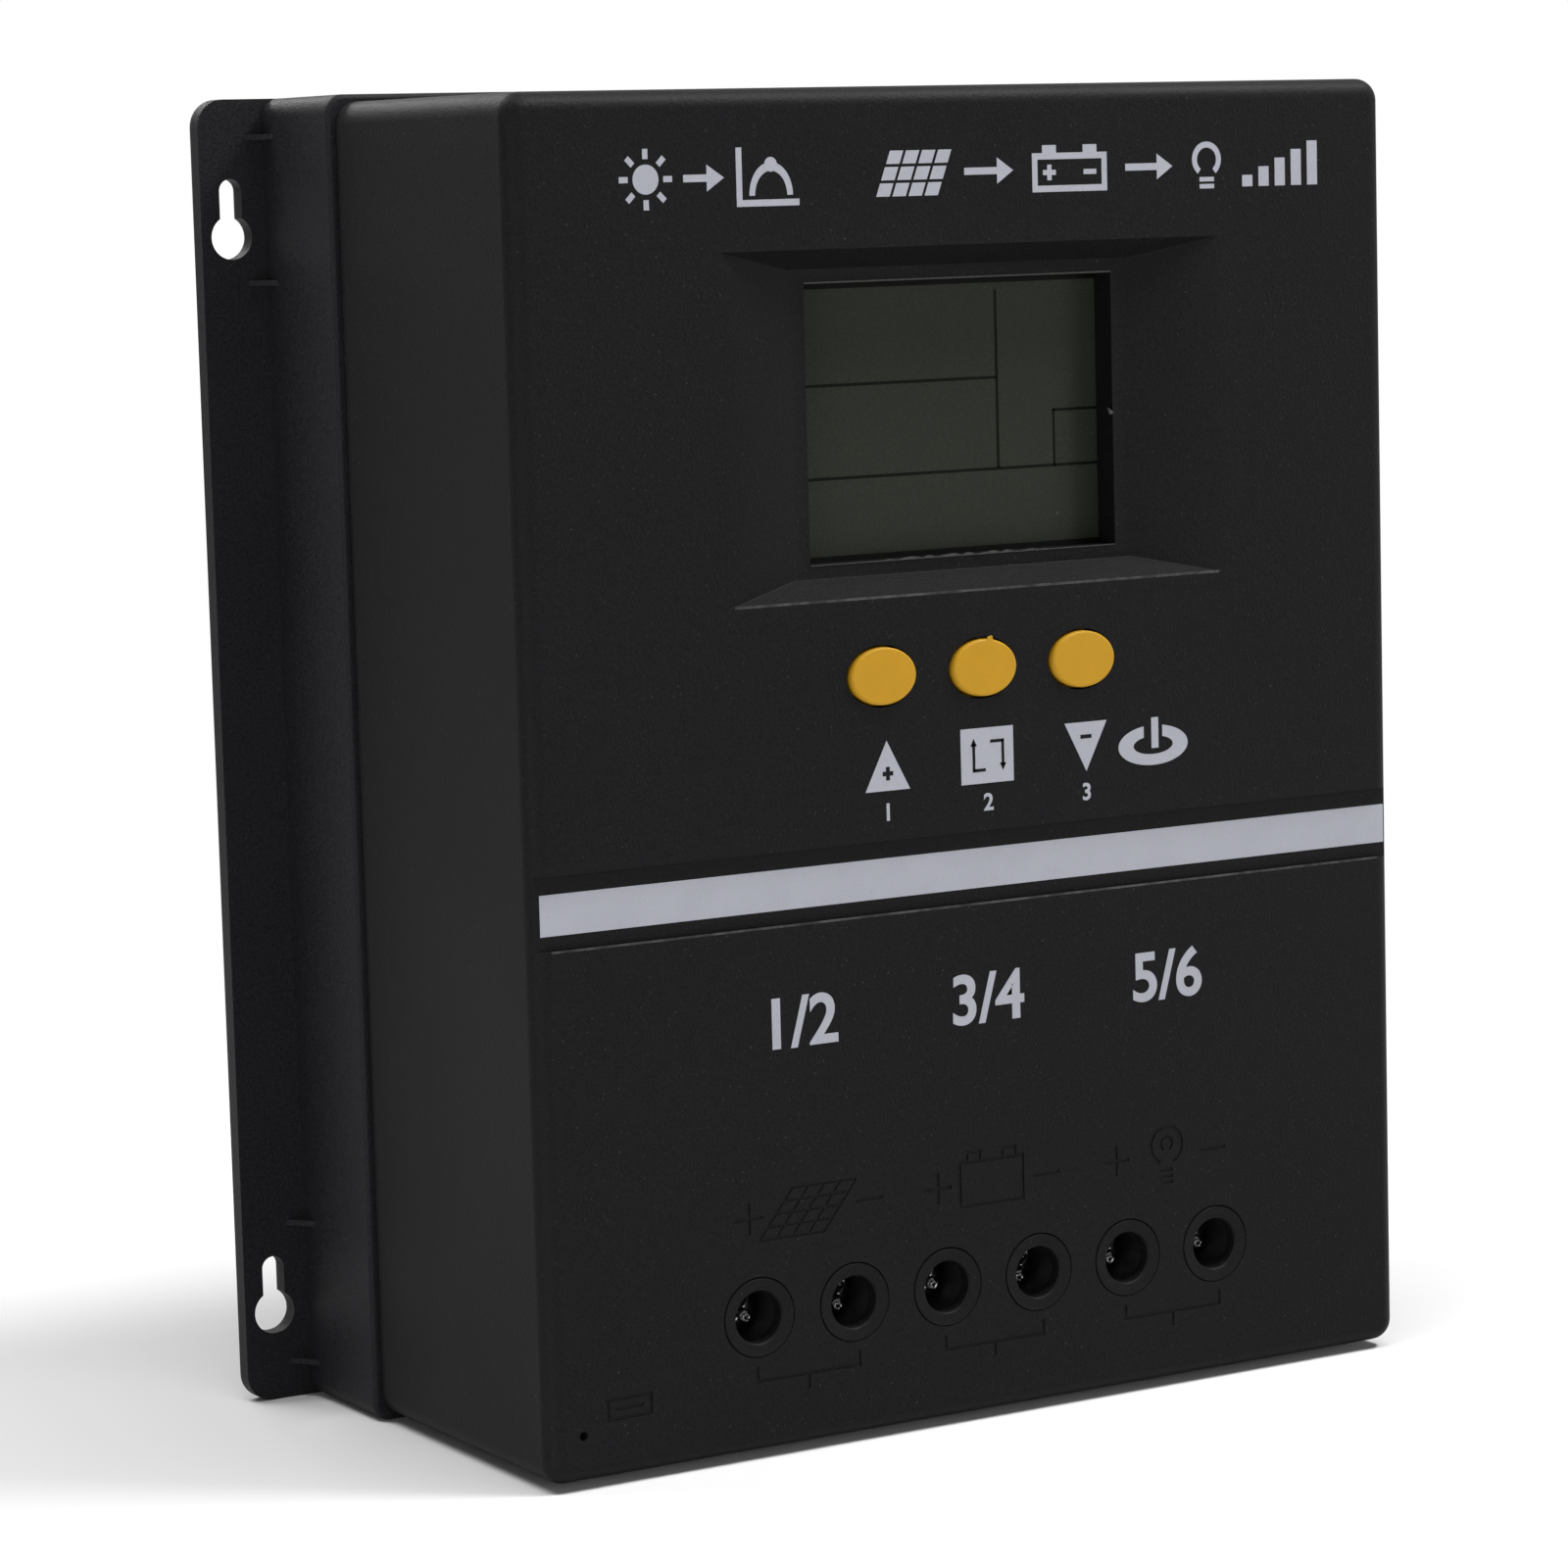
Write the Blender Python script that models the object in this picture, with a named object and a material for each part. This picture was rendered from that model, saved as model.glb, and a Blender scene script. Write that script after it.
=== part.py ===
"""Wall-mount solar charge controller: housing, display unit, power board and clamp terminals.

Metres, +Z up, +X to the right of someone facing the front. The wall plane is Y = 0 and the front
looks along -Y, so every "out" below is a distance from the wall towards that person.
"""
import math

import bmesh
import bpy
from mathutils import Vector

MM = 0.001
GAP = 0.3 * MM  # air between two pieces that rest on each other
BITE = 0.5 * MM  # how far joined shapes sink into each other
OVERRUN = 1.0 * MM  # how far a cutter runs past the face it opens

# Housing
HOUSING_HEIGHT = 210 * MM
HOUSING_DEPTH = 84 * MM
TRAY_WIDTH = 162 * MM
TRAY_DEPTH = 27 * MM
TRAY_CORNER = 3 * MM
EAR_WIDTH = 11 * MM
EAR_CORNER = 5 * MM
BACK_THICKNESS = 3 * MM
WALL = 2.5 * MM
RIM_ROUND = 0.8 * MM
COVER_STEP = 1.2 * MM  # the cover lies this far inside the tray's outline
COVER_CORNER = 3.5 * MM
COVER_EDGE_ROUND = 2.4 * MM
SEAM = 0.6 * MM  # open groove between the two rims
TONGUE_LENGTH = 3.5 * MM
INNER_CORNER = 1.5 * MM

# Mounting ears
KEYHOLE_ROUND = 7 * MM
KEYHOLE_SLOT = 3.8 * MM
KEYHOLE_RISE = 9.2 * MM  # slot top above the centre of the round
KEYHOLE_DROP = 21.7 * MM  # upper round below the housing's top
KEYHOLE_LIFT = 14.5 * MM  # lower round above the housing's bottom
KEYHOLE_INSET = 5.2 * MM  # in from the ear's outer edge
GUSSET_REACH = 3.5 * MM
GUSSET_OUT = 4.5 * MM
GUSSET_THICKNESS = 1 * MM
GUSSET_EDGE = 6 * MM  # outer gussets, from the top and bottom edges
GUSSET_SPACING = 23 * MM

# Cooling slots in the tray's top and bottom walls
VENT_COUNT = 10
VENT_PITCH = 10 * MM
VENT_WIDTH = 2.4 * MM
VENT_LENGTH = 13 * MM

# Corner screws that join tray and cover
CASE_SCREW_INSET = 7 * MM  # from the tray's side
CASE_SCREW_END_INSET = 8.6 * MM  # from the tray's top and bottom
CASE_POST = 7.6 * MM
CASE_BOSS = 10 * MM
CASE_BOSS_SHORT = 4 * MM  # the boss ends this far behind the tray's rim
CASE_SCREW_SEAT = 18 * MM
CASE_SCREW_LENGTH = 15 * MM
CASE_HEAD = 6 * MM
CASE_HEAD_HEIGHT = 2.4 * MM
CASE_SHANK = 3 * MM
PINHOLE = 1.4 * MM
PINHOLE_DEPTH = 2 * MM

# Display recess and window
DISPLAY_X = 1 * MM
DISPLAY_DROP = 52.1 * MM  # centre below the housing's top
RECESS_WIDTH = 90.8 * MM
RECESS_HEIGHT = 53.2 * MM
RECESS_DEPTH = 5 * MM
FLOOR_WIDTH = 62.4 * MM
FLOOR_HEIGHT = 47.2 * MM
FLOOR_THICKNESS = 2 * MM
WINDOW_WIDTH = 56.5 * MM
WINDOW_HEIGHT = 43 * MM
COLLAR_WALL = 2 * MM
GLASS_SETBACK = 4.8 * MM  # glass behind the recess floor
GLASS_LAP = 3 * MM  # glass beyond the window on each side
GLASS_THICKNESS = 2.8 * MM
FRAME_RIM = 1.6 * MM
FRAME_RIM_HEIGHT = 1.8 * MM
FRAME_THICKNESS = 5 * MM

# Buttons and switches
BUTTON_COUNT = 3
BUTTON_PITCH = 18.5 * MM
BUTTON_X = 0.3 * MM
BUTTON_DROP = 38.7 * MM  # below the display's centre
BUTTON_WIDTH = 11.8 * MM
BUTTON_HEIGHT = 9 * MM
BUTTON_PROUD = 1.6 * MM
BUTTON_EDGE = 0.7 * MM
BUTTON_SHOULDER = 0.2 * MM
BUTTON_FLANGE = 1 * MM
BUTTON_FLANGE_THICKNESS = 1.5 * MM
BUTTON_STEM = 6 * MM
BUTTON_TRAVEL = 0.6 * MM
SWITCH_SIDE = 12 * MM
SWITCH_HEIGHT = 3.5 * MM
PLUNGER = 6.8 * MM
PLUNGER_SINK = 1.2 * MM

# Boards
BOARD_THICKNESS = 1.6 * MM
CONTROL_MARGIN = 10 * MM  # control board beyond the recess, left and right
CONTROL_END_MARGIN = 10 * MM  # control board beyond recess and buttons, above and below
BOARD_HOLE_INSET = 4 * MM
BOARD_POST = 6 * MM
TRAY_POST = 7 * MM
BOARD_HEAD = 5.4 * MM
BOARD_HEAD_HEIGHT = 2 * MM
BOARD_SHANK = 2.6 * MM
BOARD_SCREW_LENGTH = 8 * MM
POWER_BOARD_OUT = 38.4 * MM
POWER_BOARD_WIDTH = 136 * MM
POWER_BOARD_HEIGHT = 140 * MM
POWER_BOARD_LIFT = 5 * MM  # above the housing's bottom
POWER_HOLE_LIFT = 38 * MM  # lower fixing holes above the board's edge
PROP_SPACING = 68 * MM

# Printed channel across the front
CHANNEL_DROP = 31.2 * MM  # below the buttons
CHANNEL_HEIGHT = 11.4 * MM
CHANNEL_DEPTH = 1 * MM

# Terminals
POLE_COUNT = 6
POLE_PITCH = 17.15 * MM
POLE_LIFT = 22.4 * MM  # screw axes above the housing's bottom
ACCESS_HOLE = 8.2 * MM
ACCESS_RING = 12.6 * MM
ACCESS_RING_DEPTH = 0.9 * MM
BLOCK_COUNT = 3  # one block for each pair of poles
BLOCK_ROOF = 6 * MM
BLOCK_CORNER = 1 * MM
WELL = 8.8 * MM
SCREW_SETBACK = 7 * MM  # head below the housing's front
SCREW_HEAD = 8.2 * MM
SCREW_HEAD_TOP = 5.9 * MM
SCREW_HEAD_SHOULDER = 7.6 * MM
SCREW_HEAD_HEIGHT = 3.2 * MM
SCREW_HEAD_CROWN = 1.4 * MM
SCREW_HEAD_EDGE = 0.6 * MM
SCREW_SHANK = 5 * MM
SCREW_SLOT = 1.2 * MM
SCREW_SLOT_LENGTH = 6.4 * MM
SCREW_SLOT_DEPTH = 1.4 * MM
LEDGE = 1.8 * MM
CAGE_RISE = 6 * MM
CAGE_LENGTH = 9 * MM
CAGE_NUT = 3 * MM
CAGE_FLOOR = 2 * MM
CAGE_SIDE = 1.2 * MM
WIRE_SPACE = 8 * MM
BAR_WIDTH = 8 * MM
BAR_THICKNESS = 2.5 * MM
BAR_STEP = 3 * MM  # bar's leg beyond the block
BAR_TIP = 5 * MM  # bar past the screw's axis
CAGE_PLAY = 0.5 * MM
WIRE_SLOT = 13 * MM
WIRE_SLOT_CORNER = 3 * MM

# Power stage
MOSFET_COUNT = 4
MOSFET_INSET = 13.5 * MM  # outer ones, in from the heat sink's ends
MOSFET_WIDTH = 15.6 * MM
MOSFET_HEIGHT = 20.6 * MM
MOSFET_THICKNESS = 4.3 * MM
MOSFET_LIFT = 105 * MM
SINK_WIDTH = 108 * MM
SINK_HEIGHT = 84 * MM
SINK_LIFT = 92 * MM
SINK_BASE = 4 * MM
FIN_COUNT = 12
FIN_THICKNESS = 1.8 * MM
CAPACITOR_COUNT = 2
CAPACITOR_PITCH = 30 * MM
CAPACITOR = 25 * MM
CAPACITOR_NECK = 22.4 * MM  # across the rolled groove and the top
CAPACITOR_GROOVE = 3 * MM  # its middle above the foot
CAPACITOR_EDGE = 1 * MM
CAPACITOR_HEADROOM = 7.2 * MM  # to the cover's front wall
CAPACITOR_X = -24 * MM
FILTER_LIFT = 67 * MM
CHOKE_X = 42 * MM
CHOKE = 34 * MM
CHOKE_BORE = 16 * MM
CHOKE_HEIGHT = 15 * MM
CHOKE_EDGE = 2 * MM

# Ribbon between the boards
RIBBON_X = 14.5 * MM
RIBBON_WIDTH = 13 * MM
RIBBON_THICKNESS = 1 * MM
HEADER_WIDTH = 17 * MM
HEADER_DEPTH = 6 * MM
HEADER_HEIGHT = 6 * MM
HEADER_INSET = 7 * MM  # control header above its board's lower edge
RIBBON_DROP = 20 * MM  # power header below the control header
RIBBON_PULL = 9 * MM
RIBBON_STEPS = 12

# Outlet socket
USB_X = -60.5 * MM
USB_WIDTH = 13.2 * MM
USB_HEIGHT = 5.9 * MM
USB_LENGTH = 17 * MM
USB_WALL = 0.5 * MM
USB_DEPTH = 12 * MM
USB_TONGUE = 1.9 * MM
USB_TONGUE_SIDE = 0.7 * MM
USB_TONGUE_SHORT = 1 * MM
USB_SETBACK = 0.8 * MM

# Places worked out from the sizes above
TOP = HOUSING_HEIGHT / 2
BOTTOM = -TOP
COVER_WIDTH = TRAY_WIDTH - 2 * COVER_STEP
COVER_HEIGHT = HOUSING_HEIGHT - 2 * COVER_STEP
COVER_BACK = TRAY_DEPTH + SEAM
FRONT_INSIDE = HOUSING_DEPTH - WALL
COVER_FLOOR = BOTTOM + COVER_STEP + WALL
CASE_X = TRAY_WIDTH / 2 - CASE_SCREW_INSET
CASE_Z = TOP - CASE_SCREW_END_INSET
CASE_BOSS_END = TRAY_DEPTH - CASE_BOSS_SHORT
DISPLAY_Z = TOP - DISPLAY_DROP
RECESS_FLOOR = HOUSING_DEPTH - RECESS_DEPTH
GLASS_OUT = RECESS_FLOOR - GLASS_SETBACK
GLASS_WIDTH = WINDOW_WIDTH + 2 * GLASS_LAP
GLASS_HEIGHT = WINDOW_HEIGHT + 2 * GLASS_LAP
FRAME_OUT = GLASS_OUT - GLASS_THICKNESS - GAP
CONTROL_FRONT = FRAME_OUT - FRAME_THICKNESS - GAP
CONTROL_BACK = CONTROL_FRONT - BOARD_THICKNESS
BUTTON_Z = DISPLAY_Z - BUTTON_DROP
CONTROL_TOP = DISPLAY_Z + RECESS_HEIGHT / 2 + CONTROL_END_MARGIN
CONTROL_BOTTOM = BUTTON_Z - SWITCH_SIDE / 2 - CONTROL_END_MARGIN
CONTROL_WIDTH = RECESS_WIDTH + 2 * CONTROL_MARGIN
SWITCH_FRONT = CONTROL_FRONT + GAP + SWITCH_HEIGHT
POWER_FRONT = POWER_BOARD_OUT + BOARD_THICKNESS
POWER_BOTTOM = BOTTOM + POWER_BOARD_LIFT
POWER_TOP = POWER_BOTTOM + POWER_BOARD_HEIGHT
POLE_Z = BOTTOM + POLE_LIFT
CAGE_WIDTH = BAR_WIDTH + 2 * (CAGE_PLAY + CAGE_SIDE)
SCREW_TOP = HOUSING_DEPTH - SCREW_SETBACK
SCREW_SEAT = SCREW_TOP - SCREW_HEAD_HEIGHT - GAP
POCKET_FRONT = SCREW_SEAT - LEDGE
CAGE_FRONT = POCKET_FRONT - GAP - CAGE_RISE
BAR_FRONT = CAGE_FRONT - CAGE_NUT - GAP
BAR_BACK = BAR_FRONT - BAR_THICKNESS
CAGE_BACK = BAR_BACK - WIRE_SPACE - CAGE_FLOOR
WIRE_OUT = BAR_BACK - WIRE_SPACE / 2
BLOCK_BOTTOM = COVER_FLOOR + GAP
POCKET_TOP = POLE_Z + CAGE_LENGTH / 2 + GAP
BLOCK_TOP = POCKET_TOP + BLOCK_ROOF
BLOCK_FRONT = FRONT_INSIDE - GAP
BLOCK_POLES = POLE_COUNT // BLOCK_COUNT
BLOCK_WIDTH = BLOCK_POLES * POLE_PITCH - GAP
WIRE_SLOT_WIDTH = (POLE_COUNT - 1) * POLE_PITCH + WIRE_SLOT
SINK_FRONT = POWER_BOARD_OUT - MOSFET_THICKNESS - 2 * GAP
MOSFET_PITCH = (SINK_WIDTH - 2 * MOSFET_INSET) / (MOSFET_COUNT - 1)
CAPACITOR_HEIGHT = FRONT_INSIDE - CAPACITOR_HEADROOM - POWER_FRONT - GAP
FILTER_Z = BOTTOM + FILTER_LIFT

# Facets on round shapes
ROUND_STEPS = 20
SMALL_STEPS = 12
FASTENER_STEPS = 10
OVAL_STEPS = 32
CORNER_STEPS = 4
PIN_STEPS = 8

# Shares of a pan-head screw's sizes
HEAD_FLAT = 0.7
HEAD_WALL = 0.55
SCREW_POINT = 0.3


def rectangle(width, height):
    """Corners of a rectangle about the origin."""
    x, z = width / 2, height / 2
    return [(-x, -z), (x, -z), (x, z), (-x, z)]


def rounded_rectangle(width, height, radius, steps=CORNER_STEPS):
    """Outline of a rectangle whose corners are arcs."""
    outline = []
    for turn, (x, z) in enumerate([(1, -1), (1, 1), (-1, 1), (-1, -1)]):
        for step in range(steps + 1):
            angle = math.radians(90) * (turn - 1 + step / steps)
            outline.append((x * (width / 2 - radius) + radius * math.cos(angle),
                            z * (height / 2 - radius) + radius * math.sin(angle)))
    return outline


def oval(width, height, steps=OVAL_STEPS):
    """Outline of an ellipse about the origin."""
    angles = [math.tau * step / steps for step in range(steps)]
    return [(width / 2 * math.cos(angle), height / 2 * math.sin(angle)) for angle in angles]


def circle(diameter, steps=ROUND_STEPS):
    return oval(diameter, diameter, steps)


def facing_front(outline, out, x=0.0, z=0.0):
    """Lay an outline in a plane parallel to the wall."""
    return [Vector((x + u, -out, z + v)) for u, v in outline]


def facing_up(outline, z, x=0.0, out=0.0):
    """Lay an outline in a level plane."""
    return [Vector((x + u, -out - v, z)) for u, v in outline]


def facing_side(outline, x):
    """Lay an outline of (out, z) points in a plane square to X."""
    return [Vector((x, -out, z)) for out, z in outline]


class Shape:
    """Closed solids in one mesh, each extruded through a row of flat sections."""

    def __init__(self):
        self.mesh = bmesh.new()

    def loft(self, *sections):
        solid = bmesh.new()
        cap = solid.faces.new([solid.verts.new(point) for point in sections[0]])
        for step, section in enumerate(sections[1:]):
            grown = bmesh.ops.extrude_face_region(solid, geom=[cap])["geom"]
            if step:
                solid.faces.remove(cap)
            cap = next(item for item in grown if isinstance(item, bmesh.types.BMFace))
            for corner, point in zip(cap.verts, section):
                corner.co = point
        bmesh.ops.recalc_face_normals(solid, faces=solid.faces)
        if solid.calc_volume(signed=True) < 0:
            bmesh.ops.reverse_faces(solid, faces=solid.faces)
        carrier = bpy.data.meshes.new("solid")
        solid.to_mesh(carrier)
        solid.free()
        self.mesh.from_mesh(carrier)
        bpy.data.meshes.remove(carrier)
        return self

    def out_from(self, outline, near, far, x=0.0, z=0.0):
        """A prism that stands out from the wall."""
        return self.loft(facing_front(outline, near, x, z), facing_front(outline, far, x, z))

    def upright(self, outline, low, high, x=0.0, out=0.0):
        """A prism that stands up."""
        return self.loft(facing_up(outline, low, x, out), facing_up(outline, high, x, out))

    def across(self, outline, left, right):
        """A prism that runs from left to right."""
        return self.loft(facing_side(outline, left), facing_side(outline, right))

    def turned(self, profile, x=0.0, z=0.0, steps=ROUND_STEPS):
        """A round solid square to the wall, from (diameter, out) pairs."""
        return self.loft(*[facing_front(circle(across, steps), out, x, z) for across, out in profile])

    def round_edges(self, radius, steps, chosen):
        """Round the edges whose two ends the test accepts."""
        edges = [edge for edge in self.mesh.edges if all(chosen(vert.co) for vert in edge.verts)]
        bmesh.ops.bevel(self.mesh, geom=edges, offset=radius, segments=steps, profile=0.5,
                        affect="EDGES", material=-1)
        return self


def make_material(name, colour, roughness, metallic=0.0):
    finish = bpy.data.materials.new(name)
    finish.use_nodes = True
    shader = finish.node_tree.nodes["Principled BSDF"]
    shader.inputs["Base Color"].default_value = (*colour, 1.0)
    shader.inputs["Roughness"].default_value = roughness
    shader.inputs["Metallic"].default_value = metallic
    finish.diffuse_color = (*colour, 1.0)
    return finish


def finish_mesh(name, shape, finish):
    mesh = bpy.data.meshes.new(name)
    shape.mesh.to_mesh(mesh)
    shape.mesh.free()
    if finish:
        mesh.materials.append(finish)
    mesh.shade_smooth()
    mesh.set_sharp_from_angle(angle=math.radians(35))
    return mesh


def place(name, mesh, x=0.0, out=0.0, z=0.0):
    piece = bpy.data.objects.new(name, mesh)
    piece.location = (x, -out, z)
    bpy.context.scene.collection.objects.link(piece)
    return piece


def make(name, shape, finish, x=0.0, out=0.0, z=0.0):
    return place(name, finish_mesh(name, shape, finish), x, out, z)


def combine(piece, label, shape, operation):
    """Join a shape to a piece, or cut it away."""
    x, y, z = piece.location
    tool = make(f"{piece.name}_{label}", shape, None, x, -y, z)
    tool.hide_render = True
    tool.display_type = "WIRE"
    step = piece.modifiers.new(label, "BOOLEAN")
    step.operation = operation
    step.solver = "EXACT"
    step.object = tool


def join(piece, label, shape):
    combine(piece, label, shape, "UNION")


def cut(piece, label, shape):
    combine(piece, label, shape, "DIFFERENCE")


def corners(x, z):
    return [(-x, -z), (x, -z), (-x, z), (x, z)]


def row(count, pitch, centre=0.0):
    return [centre + (index - (count - 1) / 2) * pitch for index in range(count)]


def case_corners():
    return corners(CASE_X, CASE_Z)


def control_fixings():
    x = CONTROL_WIDTH / 2 - BOARD_HOLE_INSET
    levels = (CONTROL_BOTTOM + BOARD_HOLE_INSET, CONTROL_TOP - BOARD_HOLE_INSET)
    return [(DISPLAY_X + side * x, z) for z in levels for side in (-1, 1)]


def power_fixings():
    x = POWER_BOARD_WIDTH / 2 - BOARD_HOLE_INSET
    levels = (POWER_BOTTOM + POWER_HOLE_LIFT, POWER_TOP - BOARD_HOLE_INSET)
    return [(side * x, z) for z in levels for side in (-1, 1)]


def poles():
    return row(POLE_COUNT, POLE_PITCH)


def buttons():
    return row(BUTTON_COUNT, BUTTON_PITCH, BUTTON_X)


def keyhole(shape, x, z):
    """One outline: a narrow slot that opens into a round below it."""
    half = KEYHOLE_SLOT / 2
    start = math.asin(half / (KEYHOLE_ROUND / 2))
    outline = []
    for step in range(SMALL_STEPS + 1):
        angle = start + (math.tau - 2 * start) * step / SMALL_STEPS
        outline.append((-KEYHOLE_ROUND / 2 * math.sin(angle), KEYHOLE_ROUND / 2 * math.cos(angle)))
    for step in range(CORNER_STEPS * 2 + 1):
        angle = math.pi * step / (CORNER_STEPS * 2)
        outline.append((half * math.cos(angle), KEYHOLE_RISE - half + half * math.sin(angle)))
    shape.out_from(outline, -OVERRUN, BACK_THICKNESS + OVERRUN, x, z)


def gusset(shape, side, z):
    """A small triangular rib in the corner of ear and side wall."""
    wall = TRAY_WIDTH / 2 - BITE
    seat = BACK_THICKNESS - BITE
    outline = [(wall, seat), (wall, BACK_THICKNESS + GUSSET_OUT),
               (TRAY_WIDTH / 2, BACK_THICKNESS + GUSSET_OUT),
               (TRAY_WIDTH / 2 + GUSSET_REACH, BACK_THICKNESS),
               (TRAY_WIDTH / 2 + GUSSET_REACH, seat)]
    flat = [(side * x, out) for x, out in outline]
    shape.upright(flat, z - GUSSET_THICKNESS / 2, z + GUSSET_THICKNESS / 2)


def build_base_tray(finish):
    body = Shape().out_from(rounded_rectangle(TRAY_WIDTH, HOUSING_HEIGHT, TRAY_CORNER), 0, TRAY_DEPTH)
    body.round_edges(RIM_ROUND, 2, lambda point: point.y < -TRAY_DEPTH + MM / 100)
    tray = make("base_tray", body, finish)

    span = TRAY_WIDTH + 2 * EAR_WIDTH
    plate = rounded_rectangle(span, HOUSING_HEIGHT, EAR_CORNER)
    join(tray, "ears", Shape().out_from(plate, 0, BACK_THICKNESS))

    inside = rounded_rectangle(TRAY_WIDTH - 2 * WALL, HOUSING_HEIGHT - 2 * WALL, INNER_CORNER)
    cut(tray, "hollow", Shape().out_from(inside, BACK_THICKNESS, TRAY_DEPTH + OVERRUN))

    stands = Shape()
    seat = BACK_THICKNESS - BITE
    for x, z in case_corners():
        stands.out_from(circle(CASE_BOSS), seat, CASE_BOSS_END, x, z)
    for x, z in power_fixings():
        stands.out_from(circle(TRAY_POST, SMALL_STEPS), seat, POWER_BOARD_OUT - GAP, x, z)
    for x in row(2, PROP_SPACING):
        stands.out_from(circle(BOARD_POST, SMALL_STEPS), seat, POWER_BOARD_OUT - GAP, x, POLE_Z)
    for side in (-1, 1):
        for end in (-1, 1):
            for inward in (0, GUSSET_SPACING):
                gusset(stands, side, end * (TOP - GUSSET_EDGE - inward))
    join(tray, "stands", stands)

    holes = Shape()
    for x, z in case_corners():
        holes.turned([(CASE_HEAD + 2 * GAP, -OVERRUN), (CASE_HEAD + 2 * GAP, CASE_SCREW_SEAT),
                      (CASE_SHANK + 2 * GAP, CASE_SCREW_SEAT),
                      (CASE_SHANK + 2 * GAP, CASE_BOSS_END + OVERRUN)], x, z, SMALL_STEPS)
    for x, z in power_fixings():
        holes.turned([(BOARD_SHANK + 2 * GAP, POWER_BOARD_OUT - BOARD_SCREW_LENGTH - OVERRUN),
                      (BOARD_SHANK + 2 * GAP, POWER_BOARD_OUT + OVERRUN)], x, z, SMALL_STEPS)
    ear_x = TRAY_WIDTH / 2 + EAR_WIDTH - KEYHOLE_INSET
    for side in (-1, 1):
        keyhole(holes, side * ear_x, TOP - KEYHOLE_DROP)
        keyhole(holes, side * ear_x, BOTTOM + KEYHOLE_LIFT)
    middle = (BACK_THICKNESS + COVER_BACK - SEAM - TONGUE_LENGTH) / 2
    for x in row(VENT_COUNT, VENT_PITCH):
        slot = rounded_rectangle(VENT_WIDTH, VENT_LENGTH, VENT_WIDTH / 3, 1)
        holes.upright(slot, TOP - WALL - OVERRUN, TOP + OVERRUN, x, middle)
        holes.upright(slot, BOTTOM - OVERRUN, BOTTOM + WALL + OVERRUN, x, middle)
    cut(tray, "holes", holes)


def display_sections(spread, floor_out, back_out, window_width, window_height):
    """Sections of a stepped pyramid: window or collar, recess floor, sloping sides."""
    slope_x = (RECESS_WIDTH - FLOOR_WIDTH) / RECESS_DEPTH
    slope_z = (RECESS_HEIGHT - FLOOR_HEIGHT) / RECESS_DEPTH
    mouth_out = HOUSING_DEPTH + OVERRUN if spread == 0 else HOUSING_DEPTH - BITE
    run = mouth_out - floor_out
    steps = [(window_width, window_height, back_out), (window_width, window_height, floor_out),
             (FLOOR_WIDTH + spread, FLOOR_HEIGHT + spread, floor_out),
             (FLOOR_WIDTH + spread + slope_x * run, FLOOR_HEIGHT + spread + slope_z * run, mouth_out)]
    return [facing_front(rectangle(width, height), out, DISPLAY_X, DISPLAY_Z)
            for width, height, out in steps]


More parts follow.
